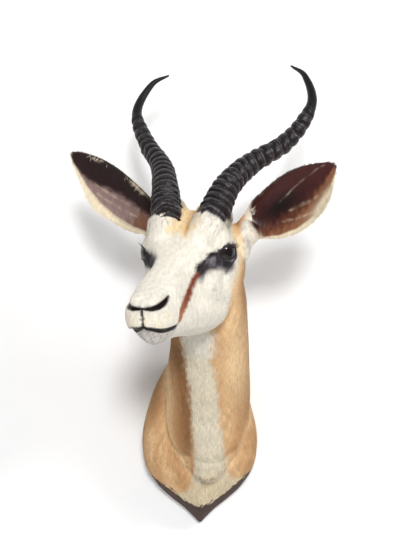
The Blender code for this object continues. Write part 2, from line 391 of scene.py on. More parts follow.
earForm = {
    "base": (60, 62, 26),
    "tips": {1: (176, 70, 101), -1: (177, 70, 126)},
    "facing": (0.25, -1.0, 0.1),
    "wall": 3.4,
    # share of the length, half width, cup depth
    "stations": [
        (-0.16, 12, 12), (-0.04, 15, 16), (0.08, 22, 21), (0.2, 30, 22), (0.38, 35, 19),
        (0.56, 34, 15), (0.72, 27, 11), (0.86, 17, 7), (0.96, 8, 3), (1.0, 3, 1),
    ],
    "lowerFullness": {1: 1.28, -1: 1.14},
    "upperFullness": ([0.1, 0.35, 0.6, 1.0], [0.82, 0.74, 0.8, 0.95]),
    # centre and radii of the rounded root, and of the stem under it
    "butts": [((60, 68, 18), (17, 14, 17)), ((59, 58, 4), (8.5, 13, 20))],
    "columns": 64,
    "rows": 70,
}
eyeForm = {
    "centre": (44.8, 10.4, 4),
    "radius": 17.0,
    "turn": 35.0,
    "tilt": 6.0,
    "lids": (19.0, 21.5, 18.0),
    "halfLength": 14.3,
    "upperReach": 8.8,
    "lowerReach": 7.9,
    "lidThickness": 0.6,
    "lidRise": 0.5,
    "reach": 29,  # how far from its centre the eye shapes the skin
}


def placeHead(around, along):
    rows = alongRows(headForm["stations"], along)
    y, top, browX, browZ, wideX, wideZ, jawX, jawZ, bottom = rows.T
    none = np.zeros_like(y)
    ring = [(none, top), (browX, browZ), (wideX, wideZ), (jawX, jawZ), (none, bottom)]
    ring += [(-jawX, jawZ), (-wideX, wideZ), (-browX, browZ)]
    rings = np.stack([np.stack(pair, axis=1) for pair in ring], axis=1)
    section = aroundRings(rings, around)
    return np.column_stack([section[:, 0], y, section[:, 1]])


def placeNeck(around, along):
    rows = alongRows(neckForm["stations"], along)
    run = alongRows(neckForm["stations"], along + 0.02)[:, :3]
    run = run - alongRows(neckForm["stations"], along - 0.02)[:, :3]
    run[:, 0] = 0
    depthAxis = unit(np.cross(run, (1.0, 0, 0)))
    angle = around * 2 * math.pi
    depth = np.where(np.sin(angle) > 0, rows[:, 4], rows[:, 5]) * np.sin(angle)
    spots = rows[:, :3] + depthAxis * depth[:, None]
    spots[:, 0] += rows[:, 3] * np.cos(angle)
    return spots


def placeShoulders(around, along):
    y, share, top, bottom = alongRows(shoulderForm["stations"], along).T
    right = np.array(shoulderForm["outline"], float)
    ring = np.vstack([right, right[-2:0:-1] * (-1, 1)])
    section = aroundRings(np.repeat(ring[None], len(around), axis=0), around)
    centre = shoulderForm["centreZ"]
    rise = section[:, 1] - centre
    up = (top - centre) / (right[0, 1] - centre)
    down = (centre - bottom) / (centre - right[-1, 1])
    z = centre + rise * np.where(rise > 0, up, down)
    return np.column_stack([section[:, 0] * share, y, z])


def earFrame(side):
    base = np.array(earForm["base"], float)
    run = np.array(earForm["tips"][side], float) - base
    length = np.linalg.norm(run)
    run = run / length
    facing = np.array(earForm["facing"])
    facing = unit(facing - run * (facing @ run))
    return base, run, facing, np.cross(run, facing), length


def earFullness(side, share, lower):
    return np.where(lower, earForm["lowerFullness"][side], np.interp(share, *earForm["upperFullness"]))


def placeEar(side):
    base, run, facing, across, length = earFrame(side)
    steps = np.array(earForm["stations"])

    def place(around, along):
        share, halfWidth, depth = alongRows(steps, along).T
        turn = around * 2 * math.pi
        angle = -math.pi / 2 * np.cos(turn)
        spread = halfWidth * np.sin(angle) * earFullness(side, share, angle > 0)
        taper = np.clip(halfWidth / 12, 0.25, 1)
        back = -depth * np.cos(angle) + earForm["wall"] / 2 * taper * np.sin(turn)
        spots = base + run * (share * length)[:, None]
        spots = spots + across * spread[:, None] + facing * back[:, None]
        return spots * (side, 1, 1)

    return place


def ball(centre, radii, turn=None, segments=48):
    place = Matrix.Translation(centre) @ (turn or Matrix.Identity(4)) @ Matrix.Diagonal((*radii, 1))
    shape = bmesh.new()
    bmesh.ops.create_uvsphere(
        shape, u_segments=segments, v_segments=segments // 2, radius=1, matrix=place
    )
    return shape


def eyeTurn(side):
    outward = Matrix.Rotation(math.radians(-side * eyeForm["turn"]), 4, "Z")
    return outward @ Matrix.Rotation(math.radians(eyeForm["tilt"]), 4, "X")


def eyeAxes():  # outward, to the front corner and up, for the eye at +X
    turn, tilt = math.radians(eyeForm["turn"]), math.radians(eyeForm["tilt"])
    outward = np.array([math.cos(turn), -math.sin(turn), 0])
    forward = np.array([-math.sin(turn), -math.cos(turn), 0])
    up = np.array([0, 0, 1.0])
    lean, rise = math.cos(tilt), math.sin(tilt)
    return outward, forward * lean - up * rise, up * lean + forward * rise


def eyeRing(sided):  # 1 on the edge of the lids, less inside them, and whether it is on the outer side
    outward, forward, up = eyeAxes()
    local = sided - eyeForm["centre"]
    ahead, above = local @ forward, local @ up
    reach = np.where(above > 0, eyeForm["upperReach"], eyeForm["lowerReach"])
    return np.hypot(ahead / eyeForm["halfLength"], above / reach), local @ outward > 0


fadeEdges = {  # where each mask begins and where it is full
    "napeSoft": (-5, 30), "neckRoot": (-150, -110), "neckRootLow": (20, 60), "earFirm": (66, 84),
    "rimFirm": (-16, -6), "nostrilEnd": (-108, -118), "mouthCarved": (1.05, 0.9), "lowerLip": (0, -5),
    "lowerLipBack": (-104, -128), "betweenHorns": (6, 16), "outsideHorns": (36, 50),
    "collarNear": (36, 20), "collarFoot": (-46, -26), "lipTuck": (-118, -140), "sleeveNear": (2, 7),
    "lidOuter": (1.8, 1.05), "eyeSunk": (1.0, 0.85), "lidInner": (0.9, 1.0), "neckFacing": (0.2, -0.4),
    "neckLow": (-40, -5), "neckTop": (200, 160), "neckFront": (-105, -120), "brisketStep": (-2, 3),
    "brisketTop": (60, 2), "hollowTop": (2, -3), "hollowLow": (-26, -4), "brisketFront": (-95, -108),
    "muzzle": (-95, -115), "headJoin": (140, 110), "cupRim": (1.0, 0.92), "cupFoot": (0.03, 0.08),
    "cupTip": (1.01, 0.97), "cupDepth": (0, 0.9), "napeFacing": (0.1, 0.8), "napeFront": (-330, -250),
    "throatFacing": (0.25, -0.15), "throatFoot": (-10, 40), "throatTop": (190, 150),
    "brisketUnder": (-14, -26), "brisketNose": (-132, -142), "napeLow": (60, 140),
    "shadeFray": (-0.9, 0.3), "throatEdge": (3, -3), "chestEdge": (4, -5), "bandEdge": (2.0, -2.0),
    "bandFront": (-110, -90), "headBack": (120, 100), "headLow": (-150, -125), "paleTop": (15, -15),
    "paleLow": (-90, -40), "stripLow": (-60, -20), "stripTop": (75, 50), "faceEdge": (6, -6),
    "faceLow": (-175, -140), "browSide": (54, 60), "browLow": (12, 22), "forelockEdge": (-3.5, 4.5),
    "tuftEdge": (32, 25), "tuftFoot": (-42, -30), "stemEdge": (24, 14), "stemSide": (57, 62),
    "stemCore": (20, 12), "stemFray": (0.35, 0.8), "forelockCore": (3, 10), "forelockSide": (-4, 8),
    "tuftSide": (8, 14), "brinkEdge": (6, 2.5), "patchSide": (13, 18), "smokeFray": (0, 0.9),
    "smokeDark": (-0.1, -0.8), "stripeFade": (0.45, 1.0), "stripeEdge": (1.2, -1.0),
    "lidEdge": (1.2, 1.1), "padBack": (-116, -130), "padTop": (-33, -38), "padLip": (-2, 2),
    "speckleFray": (0.5, 0.9), "philtrumEdge": (2.2, 1.1), "belowLip": (0, -3),
    "belowBack": (-104, -118), "streakFray": (0.1, 0.8), "nostrilBack": (-110, -122),
    "lipEdge": (0.8, -0.6), "barEdge": (2.4, 1.2), "mouthEnd": (1.05, 0.92), "earFoot": (-0.02, 0.1),
    "earSide": (61, 70), "upperRim": (-0.84, -0.92), "upperRimFoot": (0.1, 0.2),
    "upperRimTip": (1.0, 0.9), "lowerRim": (0.84, 0.9), "lowerRimFoot": (0.02, 0.08),
    "earLow": (-0.1, 0.12), "redLow": (0.25, 0.6), "redTip": (0.85, 0.5), "brownFoot": (0.34, 0.16),
    "brownLow": (0.0, 0.4), "darkTip": (0.9, 0.97), "lightPatches": (-0.2, 1), "deepPatches": (0.1, 1),
    "bareNostril": (5.2, 4.0), "barePhiltrum": (4.2, 3.2), "bareMouth": (3.2, 2.4),
    "bareMouthEnd": (1.1, 0.95), "bareLid": (1.3, 1.16),
}


def fade(name, value):
    return smoothStep(*fadeEdges[name], value)


# Sculpted face, in the head's frame and mirrored to both sides
faceForm = {
    "nostril": [(4, -145.5, -31), (12, -144, -31.5), (18.5, -140, -30), (22.5, -132, -27.5),
                (24.5, -122, -24.5), (24.5, -116, -22)],
    "bar": [(-6, -146, -31), (6, -146, -31)],  # between the nostrils
    "philtrum": [(0.2, -147, -31), (0.8, -147.5, -42), (1, -147, -54)],
    "mouth": [(0, -147, -53.5), (10, -144, -55.9), (18.6, -136, -59), (25, -124, -59.3), (28, -106, -58.5)],
    "lipY": [-148, -136, -124, -106, -90],
    "lipZ": [-53.5, -58.5, -59.3, -58.5, -59],
    "hollows": [((40, -33, -15), 14, 6.2), ((53, -1, -28), 13, 4.6), ((50, 34, 20), 15, 2.5),
                ((25, -62, 0), 13, 2.6), ((20, -112, -28), 13, 1.4)],
    "swells": [((57, 28, -14), 12, 1.6), ((47, 0, -62), 24, 2.0), ((50, 0, 24), 10, 2.4),
               ((27, -126, -46), 12, 1.4), ((12, -132, -20), 9, 1.0), ((0, -146, -45), 10, 1.2)],
    "lowerLip": (0.16, 6.0),  # share by which it is narrower, and length by which it is shorter
    "hornBase": (32, 27, 49),
    "hornRun": (9, 32, 30),
    "collar": 17.0,
    # lowest and highest place along the horn, radius, and step inward above
    "sleeve": (-62, -22, 21.8, 6),
}
neckRelief = {
    "ridge": (3.0, 13),  # height and half width of the windpipe under the stripe
    "groove": (4.5, 30, 9),  # depth, distance from the middle and half width of the hollows beside it
    "folds": [[(-43, 130), (-44, 48), (-35, 14), (-19, -16)], [(72, 62), (60, 23), (54, 7), (40, -9)]],
    "fold": (2.8, 4.0),
    "brisket": (-28, 8, 0.012, 6.0),  # lowest z and x of its lower edge, how it bends up, and its depth
}


def sidedOf(head):  # both sides of the head laid on the animal's left
    return np.abs(head[:, :1]) * (1, 0, 0) + head * (0, 1, 1)


def hornGap(head):  # distance from the nearer horn's axis, place along it, and the axis on that side
    run = unit(np.array(faceForm["hornRun"], float))
    local = sidedOf(head) - faceForm["hornBase"]
    along = local @ run
    axis = np.sign(head[:, :1]) * (run[0], 0, 0) + (0, run[1], run[2])
    return np.linalg.norm(local - along[:, None] * run, axis=1), along, axis


def hornSpoke(head):  # direction away from the nearer horn's axis
    _, along, axis = hornGap(head)
    foot = np.tile(np.array(faceForm["hornBase"], float), (len(head), 1))
    foot[:, 0] *= np.sign(head[:, 0])
    return unit(head - foot - axis * along[:, None])


def sleeveHorns(head, rest):  # the skin wraps the lowest part of each horn
    spoke = hornSpoke(rest)
    gap, low, _ = hornGap(rest)
    now, along, _ = hornGap(head)
    lowest, highest, radius, inner = faceForm["sleeve"]
    wanted = radius - inner * smoothStep(highest, highest + 3, along)
    grow = np.clip(wanted - now, 0, None) * smoothStep(lowest, lowest + 16, low) * (low < 10) * (gap < 30)
    return head + spoke * (grow * fade("sleeveNear", gap))[:, None]


def unionSkin():
    head = [mappedGrid(headForm["columns"], headForm["rows"], placeHead)]
    for side in (1, -1):
        head.append(mappedGrid(earForm["columns"], earForm["rows"], placeEar(side)))
        for centre, radii in earForm["butts"]:
            head.append(ball(Vector(centre) * Vector((side, 1, 1)), radii))
        head.append(ball(Vector(eyeForm["centre"]) * Vector((side, 1, 1)), eyeForm["lids"], eyeTurn(side)))
    body = [mappedGrid(neckForm["columns"], neckForm["rows"], placeNeck)]
    body.append(mappedGrid(shoulderForm["columns"], shoulderForm["rows"], placeShoulders))
    shapes = [moved(shape, lambda spots: fromHead(spots) * mm) for shape in head]
    shapes += [moved(shape, lambda spots: spots * mm) for shape in body]
    return joined("skin", shapes)


skinLook = {
    "voxel": 0.0012,
    "blendRounds": 70,
    "mostTriangles": 192000,
    # centre and width of the joints to soften, at the ear, under it and at the eye
    "joints": [((64, 62, 22), 25), ((60, 57, 0), 20), ((50, 8, 4), 17)],
    "nape": ((0, 70, -20), 62),
}


def junctionWeight(spots, head):
    sided = sidedOf(head)
    weight = np.full(len(spots), 0.08)
    for centre, width in skinLook["joints"]:
        weight = np.maximum(weight, 0.5 * closeTo(sided, centre, width))
    centre, width = skinLook["nape"]
    nape = closeTo(spots, fromHead(np.array([centre])), width) * fade("napeSoft", head[:, 1])
    neckRoot = fade("neckRoot", spots[:, 1]) * fade("neckRootLow", spots[:, 2])
    weight = np.maximum(weight, 0.5 * np.maximum(nape, neckRoot))
    earPart = fade("earFirm", sided[:, 0])
    rim = fade("rimFirm", spots[:, 1])
    return weight * (1 - 0.9 * earPart) * (1 - rim)


def lipHeight(head):  # height above the line of the mouth
    return head[:, 2] - np.interp(head[:, 1], faceForm["lipY"], faceForm["lipZ"])


def sculptFace(head, normals):
    sided = sidedOf(head)
    push = np.zeros(len(head))
    for centre, width, depth in faceForm["hollows"]:
        push -= depth * closeTo(sided, centre, width)
    for centre, width, height in faceForm["swells"]:
        push += height * closeTo(sided, centre, width)
    nostril, share = fromPath(sided, faceForm["nostril"])
    push -= 7.0 * bell(nostril, 2.2 + 1.6 * np.sin(math.pi * share)) * fade("nostrilEnd", head[:, 1])
    push -= 2.0 * bell(pathGap(head, faceForm["philtrum"]), 1.7)
    mouth, share = fromPath(sided, faceForm["mouth"])
    push -= 4.5 * bell(mouth, 2.2) * fade("mouthCarved", share)
    lower = fade("lowerLip", lipHeight(head)) * fade("lowerLipBack", head[:, 1])
    gap, along, axis = hornGap(head)
    between = 0.15 + 0.85 * fade("betweenHorns", sided[:, 0])  # the crown stays low between the horns
    outer = 1 - 0.6 * fade("outsideHorns", sided[:, 0])
    collar = faceForm["collar"] * fade("collarNear", gap) * fade("collarFoot", along) * between * outer
    head = sleeveHorns(head + normals * push[:, None] + axis * collar[:, None], head)
    # the lower lip lies inside the upper one
    narrower, shorter = faceForm["lowerLip"]
    head[:, 0] *= 1 - narrower * lower
    head[:, 1] += shorter * lower * fade("lipTuck", head[:, 1])
    return head


def sculptEyes(head):
    for side in (1, -1):
        flip = np.array([side, 1, 1])
        ring, front = eyeRing(head * flip)
        local = head * flip - eyeForm["centre"]
        distance = np.linalg.norm(local, axis=1)
        front = front & (distance < eyeForm["reach"])
        hold = np.where(front & (ring >= 1.0), fade("lidOuter", ring), 0)
        raised = eyeForm["radius"] + eyeForm["lidThickness"] + eyeForm["lidRise"] * bell(ring - 1.1, 0.13)
        sunk = eyeForm["radius"] - 2.5 * fade("eyeSunk", ring) + 1.2 * fade("lidInner", ring)
        wanted = distance * (1 - hold) + raised * hold
        wanted = np.where(front & (ring < 1.0), sunk, wanted)
        factor = np.where(front, wanted / np.maximum(distance, 1e-6), 1)
        head = (eyeForm["centre"] + local * factor[:, None]) * flip
    return head


def fromBrisket(spots):  # place across from its middle, and height above its edge
    lowest, middle, bend, _ = neckRelief["brisket"]
    across = spots[:, 0] - middle
    return across, spots[:, 2] - lowest - bend * across ** 2


def foldGaps(spots):
    return [pathGap(spots[:, ::2], fold) for fold in neckRelief["folds"]]


def sculptNeck(spots, normals):
    x, y, z = spots.T
    beside = x - np.interp(z, coatLines["throatZ"], coatLines["throatX"])
    front = fade("neckFacing", normals[:, 1]) * fade("neckLow", z) * fade("neckTop", z)
    front = front * fade("neckFront", y)
    height, width = neckRelief["ridge"]
    depth, away, grooveWidth = neckRelief["groove"]
    push = height * bell(beside, width) - depth * bell(np.abs(beside) - away, grooveWidth)
    height, width = neckRelief["fold"]
    for gap in foldGaps(spots):
        push = push + height * bell(gap, width)
    across, above = fromBrisket(spots)
    swell = fade("brisketStep", above) * fade("brisketTop", above)
    hollow = fade("hollowTop", above) * fade("hollowLow", above)
    step = neckRelief["brisket"][3] * (swell - 0.5 * hollow)
    step = step * bell(across, 34) * fade("brisketFront", y)
    return spots + np.array([0, -1.0, -0.25]) * step[:, None] + normals * (push * front)[:, None]


def thinSkin(skin):  # fewer triangles, most of them kept on the muzzle and the eyes
    head = toHead(cornerValues(skin.data) / mm)
    detail = np.maximum(fade("muzzle", head[:, 1]), closeTo(sidedOf(head), (56, 4, 4), 22))
    shares = np.round(1 - 0.9 * detail, 1)
    group = skin.vertex_groups.new(name="thinned")
    for share in np.unique(shares):
        group.add(np.flatnonzero(shares == share).tolist(), float(share), "REPLACE")
    triangles = sum(len(face.vertices) - 2 for face in skin.data.polygons)
    thin = skin.modifiers.new("thin", "DECIMATE")
    thin.ratio = min(1.0, skinLook["mostTriangles"] / triangles)
    thin.vertex_group = group.name
    thin.vertex_group_factor = 0.002
    applied(skin)
    skin.vertex_groups.clear()


def buildSkin(material):  # also gives each corner's place and normal before the face is sculpted
    skin = addPiece("cape_skin", unionSkin(), None)
    blend = skin.modifiers.new("oneSkin", "REMESH")
    blend.mode = "VOXEL"
    blend.voxel_size = skinLook["voxel"]
    mesh = applied(skin)
    edges = np.empty(len(mesh.edges) * 2, np.int32)
    mesh.edges.foreach_get("vertices", edges)
    spots = cornerValues(mesh) / mm
    spots = relax(spots, edges.reshape(-1, 2), junctionWeight(spots, toHead(spots)), skinLook["blendRounds"])
    setSpots(mesh, spots * mm)
    thinSkin(skin)
    mesh = skin.data
    rest = cornerValues(mesh) / mm
    normals = cornerValues(mesh, "normal")
    head = sculptEyes(sculptFace(toHead(rest), normals @ headTurn))
    near = fade("headJoin", head[:, 1])[:, None]
    spots = sculptNeck(rest, normals) * (1 - near) + fromHead(head) * near
    setSpots(mesh, spots * mm)
    mesh.materials.clear()
    mesh.materials.append(material)
    mesh.shade_smooth()
    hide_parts("cape")
    return skin, rest, normals


# Colours of the coat, by place
# Some tones below also serve as painted light: the two darker tans as painted shade beside the throat and
# under the brisket, the pale tan as painted highlights on the neck, and the darkest ear tone as painted shade
# deep in one ear's cup.
coatTones = {
    "tan": (212, 168, 120), "paleTanAndHighlight": (242, 210, 164), "deepTanAndShade": (170, 120, 76),
    "shadowedTan": (122, 84, 50), "white": (234, 228, 215), "cream": (222, 206, 174),
    "throat": (220, 209, 186), "stripe": (130, 60, 38), "stripeEnd": (176, 112, 76),
    "forelock": (240, 212, 162), "forelockDeep": (222, 168, 102), "eyeDark": (26, 20, 22),
    "eyeSmoke": (66, 59, 63), "eyeGrey": (124, 119, 126), "lip": (26, 15, 13),
    "lipGrey": (170, 162, 160), "band": (78, 60, 52), "strip": (238, 216, 176), "earDark": (36, 17, 18),
    "earCupShadow": (17, 6, 7), "earMaroon": (66, 27, 26), "earRed": (92, 48, 30), "earPink": (132, 108, 104),
    "earRosy": (128, 84, 58), "earBrown": (112, 74, 52), "earRim": (232, 218, 190),
    "earBack": (206, 190, 164), "nape": (164, 112, 68),
}
coatTones = {name: linear(*tone) for name, tone in coatTones.items()}
coatLines = {
    "stripe": [(33, -44, -13), (30, -56, -21), (29, -69, -29), (29, -82, -36), (29, -97, -44),
               (29, -107, -54)],
    "stripeHalf": [3.6, 5.2, 6.0, 6.2, 5.6, 3.4],
    # dark patch of the near eye, its upper edge first, and of the far one, in y and z
    "nearPatch": [(-45, -9), (-41, -3), (-36, 2), (-28, 6.5), (-17, 10), (-7, 13), (1, 15), (14, 15),
                  (27, 6), (24, -2), (18, -11), (14, -20), (4, -22), (-7, -15), (-16, -12), (-24, -12),
                  (-32, -18), (-40, -24)],
    "patchTop": 7,  # corners in the upper edge
    "farPatch": [(-2, 13), (-18, 11), (-38, 11), (-54, 9), (-63, 4), (-66, -3), (-60, -6), (-48, -8),
                 (-30, -8), (-16, -10), (2, -14), (20, -12), (28, 0), (16, 12)],
    # the two lobes on the forehead, in x and y
    "forelock": [(10, -25), (-2, -14), (-14, -17), (-26, 0), (-24, 26), (0, 38), (22, 28), (27, 6),
                 (19, -20)],
    "flecks": [(36, -40, -24), (40.5, -31, -28), (43, -25, -36), (46, -13, -42), (47, -6, -50),
               (44, -18, -50), (50, -4, -33), (35, -47, -28)],
    "throatZ": [-30, 0, 31, 60, 86, 116, 150, 175],
    "throatX": [16, 14.5, 13, 9.5, 8, 4.5, -1, -4],
    "throatHalf": [26, 23, 20, 19, 19, 18.5, 18, 20],
    "chestX": [-40, -36, -33, -23.5, -12, 10, 40, 75],
    "chestZ": [-200, -84, -68, -60, -47, -38, -33, -45],
    "bandX": [-90, -70, -56, -42, -31, -21, -11, 10, 22, 35, 48, 58, 68, 90],
    "bandZ": [-33, -46, -54, -62, -73, -82, -86, -85, -80, -70, -59, -49, -41, -24],
    "cheekZ": [-140, -111, -82, -56, -40, -20, -5, 16, 28, 40, 60],
    "cheekY": [60, 44, 8, 7, 15, 29, 35, 35, 35, 34, 26],
    "stem": [(63, 60, -15), (70, 58, 8), (73, 62, 32)],
    # lower edge of the dark inside of each ear, and the light ribs, as share and spread
    "earEdge": {1: ([0, 0.2, 0.5, 0.75, 1], [0.8, 0.68, 0.6, 0.42, 0.3]),
                -1: ([0, 0.18, 0.43, 0.58, 0.78, 1], [0.1, 0.18, 0.13, 0.3, 0.62, 1.0])},
    "earRibs": {1: [((0.93, -0.62), (0.78, -0.36), (0.64, -0.26), (0.5, -0.14), (0.36, -0.02)),
                    ((0.78, 0.66), (0.56, 0.43), (0.4, 0.34)), ((0.62, 0.82), (0.41, 0.62), (0.28, 0.52))],
                -1: [((0.7, 0.5), (0.5, 0.34), (0.34, 0.26)), ((0.62, 0.66), (0.42, 0.54), (0.24, 0.46))]},
    # pale tufts as amount, centre and size
    "earTufts": {1: [(1, (0.72, 0.88), (0.16, 0.1))],
                 -1: [(1, (0.36, -0.92), (0.09, 0.14)), (0.2, (0.8, -0.92), (0.1, 0.14)),
                      (1, (0.6, 0.88), (0.16, 0.1))]},
}


def layered(color, layers):  # tones laid over a colour, each with how much of it shows
    for name, mask in layers:
        color = mixed(color, coatTones[name], mask)
    return color


def aboveBand(spots):  # height above the dark band at the lower edge
    return spots[:, 2] - np.interp(spots[:, 0], coatLines["bandX"], coatLines["bandZ"])


def within(flat, outline):  # distance inside a closed outline, below zero outside it
    corners = np.array(outline, float)
    gap, _ = fromPath(flat, np.vstack([corners, corners[:1]]))
    inside = np.zeros(len(flat), bool)
    for start, end in zip(corners, np.roll(corners, -1, axis=0)):
        run = end - start
        between = (start[1] > flat[:, 1]) != (end[1] > flat[:, 1])
        crossing = start[0] + (flat[:, 1] - start[1]) * run[0] / (run[1] if run[1] else 1e-9)
        inside ^= between & (flat[:, 0] < crossing)
    return np.where(inside, gap, -gap)


def earPlace(head, side):  # share of the length, place across from -1 to 1, and depth in front
    base, run, facing, across, length = earFrame(side)
    local = head * (side, 1, 1) - base
    share = local @ run / length
    steps = np.array(earForm["stations"])
    half = np.interp(share, steps[:, 0], steps[:, 1])
    depth = np.interp(share, steps[:, 0], steps[:, 2])
    spread = local @ across
    spread = spread / (half * earFullness(side, share, spread > 0))
    middle = -depth * np.sqrt(np.clip(1 - spread ** 2, 0, 1))
    return share, spread, local @ facing - middle


def earInside(head, side):  # how much a place lies in the open cup
    share, spread, ahead = earPlace(head, side)
    rim = fade("cupRim", np.where(spread > 0, spread * (1.08 if side > 0 else 1.2), -spread))
    mouth = fade("cupFoot", share) * fade("cupTip", share)
    return fade("cupDepth", ahead) * rim * mouth * (head[:, 0] * side > 64), share, spread


def earSpot(share, spread, centre, size, width=0.8):
    return bell(np.hypot((share - centre[0]) / size[0], (spread - centre[1]) / size[1]), width)


def neckColor(color, spots, normals, fine):
    x, y, z = spots.T
    beside = x - np.interp(z, coatLines["throatZ"], coatLines["throatX"])
    half = np.interp(z, coatLines["throatZ"], coatLines["throatHalf"])
    nape = fade("napeFacing", normals[:, 1] * 0.6 + normals[:, 2] * 0.8) * fade("napeFront", y)
    front = fade("throatFacing", normals[:, 1])
    above = front * fade("throatFoot", z)
    # painted shade in the hollow on the left of the white throat (as seen from the front)
    shade = above * bell(beside + half + 6, 9) * fade("throatTop", z)
    across, step = fromBrisket(spots)
    edge = np.interp(x, coatLines["chestX"], coatLines["chestZ"])
    under = fade("brisketUnder", z) * fade("brisketNose", y)
    return layered(color, [
        ("nape", 0.75 * nape * fade("napeLow", z)),
        # painted shade, partly the coat's own deeper brown: the hollow left of the white throat, on the side
        # turned from the lights, is darkened in two layers
        ("deepTanAndShade", 0.8 * above * bell(beside + half + 11, 12)),
        ("shadowedTan", 0.75 * shade * fade("shadeFray", fine + 0.4)),
        # painted highlight where the light falls on the right of the neck, high up (as seen from the front)
        ("paleTanAndHighlight", bell(np.hypot(x - 50, (z - 150) / 3.2), 22)),
        ("throat", front * fade("throatEdge", np.abs(beside) - half + 3.0 * fine)),
        # painted highlight along the top of each raised fold of the neck
        *[("paleTanAndHighlight", 0.75 * front * bell(gap, 4)) for gap in foldGaps(spots)],
        ("cream", fade("chestEdge", z - edge + 4 * fine)),
        ("cream", under * bell(x - 13, 26)),
        # painted shadow: a dark line just under the lower edge of the brisket
        ("shadowedTan", front * bell(step + 3, 2.6) * bell(across, 20)),
        ("band", fade("bandEdge", aboveBand(spots) + 3.5 * fine) * fade("bandFront", y)),
    ])


def faceColor(color, head, fine):
    sided = sidedOf(head)
    x, y, z = head.T
    past = y - np.interp(z, coatLines["cheekZ"], coatLines["cheekY"])  # behind the white of the face
    onHead = fade("headBack", y) * fade("headLow", z)
    pale = bell(past - 8, 14) * fade("paleTop", z) * fade("paleLow", z)
    strip = bell(past - 6, 11) * fade("stripLow", z) * fade("stripTop", z)
    face = fade("faceEdge", past + 3 * fine) * fade("faceLow", z)
    brow = fade("browSide", sided[:, 0]) * fade("browLow", z + 3 * fine)
    stem = pathGap(sided, coatLines["stem"])
    lobes = within(head[:, :2], coatLines["forelock"])
    crown = fade("forelockEdge", lobes + 4 * fine) * (z > 20)
    gap, along, _ = hornGap(head)
    tuft = fade("tuftEdge", gap) * fade("tuftFoot", along) * (y < 70)
    return layered(color, [
        ("paleTanAndHighlight", 0.8 * pale * onHead),
        ("strip", 0.85 * strip * onHead),
        ("white", face * onHead),
        ("white", 0.9 * brow * onHead),
        ("white", 0.92 * fade("stemEdge", stem + 3 * fine) * fade("stemSide", sided[:, 0])),
        ("eyeGrey", 0.4 * fade("stemCore", stem) * fade("stemFray", fine)),
        ("forelock", 0.85 * crown),
        ("forelockDeep", 0.6 * crown * fade("forelockCore", lobes + 3 * fine) * fade("forelockSide", x)),
        ("white", 0.6 * tuft * fade("tuftSide", sided[:, 0])),
    ])


def markColor(color, head, fine):  # the patch round the eye, the brown stripe, flecks and the lids
    sided = sidedOf(head)
    near, far = (within(head[:, 1:], coatLines[name]) for name in ("nearPatch", "farPatch"))
    patch = np.where(head[:, 0] > 0, near, far)
    brink = pathGap(head[:, 1:], coatLines["nearPatch"][:coatLines["patchTop"]])
    brink = fade("brinkEdge", brink)
    soft = 1.2 + 2.6 * (1 - brink)  # sharp above, frayed below
    dark = smoothStep(-soft, soft, patch + 2.2 * fine) * fade("patchSide", sided[:, 0])
    under = closeTo(sided, (55, 14, -14), 9)
    smoke = layered(coatTones["eyeSmoke"], [
        ("eyeGrey", fade("smokeFray", fine)),
        ("eyeDark", np.maximum(brink, 0.8 * fade("smokeDark", fine))),
        ("eyeDark", 0.6 * np.maximum(under, head[:, 0] < 0)),
    ])
    stripe, share = fromPath(sided, coatLines["stripe"])
    half = coatLines["stripeHalf"]
    half = np.interp(share, np.linspace(0, 1, len(half)), half)
    brown = mixed(coatTones["stripe"], coatTones["stripeEnd"], fade("stripeFade", share))
    color = mixed(color, smoke, dark)
    color = mixed(color, brown, fade("stripeEdge", stripe - half + 0.9 * fine))
    ring, front = eyeRing(sided)
    return layered(color, [
        *[("eyeGrey", 0.8 * closeTo((sided - fleck) / (1, 2, 1), 0, 1.1)) for fleck in coatLines["flecks"]],
        ("eyeDark", fade("lidEdge", ring) * front),
    ])


def noseColor(color, head, fine):
    sided = sidedOf(head)
    y, lip = head[:, 1], lipHeight(head)
    nostril, share = fromPath(sided, faceForm["nostril"])
    flare = 2.0 + 2.2 * np.sin(math.pi * share)
    pad = fade("padBack", y) * fade("padTop", head[:, 2]) * fade("padLip", lip)
    speckle = fade("speckleFray", ripple(head * (1, 0.5, 1), 3.2, 12))
    middle = fade("philtrumEdge", pathGap(head, faceForm["philtrum"]))
    below = fade("belowLip", lip) * fade("belowBack", y)
    streak = fade("streakFray", ripple(head * (1, 0.35, 0.6), 3.4, 21))
    mouth, along = fromPath(sided, faceForm["mouth"])
    gape = 2.0 + 2.4 * np.sin(math.pi * np.clip(along, 0, 1)) ** 0.6
    return layered(color, [
        ("lipGrey", 0.45 * bell(nostril, 6.5) * fade("nostrilBack", y)),
        ("lip", fade("lipEdge", nostril - flare)),
        ("cream", (0.3 + 0.25 * fine) * pad),
        ("eyeGrey", 0.22 * pad * speckle),
        ("lip", np.maximum(fade("barEdge", pathGap(head, faceForm["bar"])), middle)),
        ("lipGrey", (0.55 + 0.3 * fine) * below),
        ("eyeGrey", 0.6 * streak * below),
        ("lip", fade("lipEdge", mouth - gape) * fade("mouthEnd", along)),
    ])


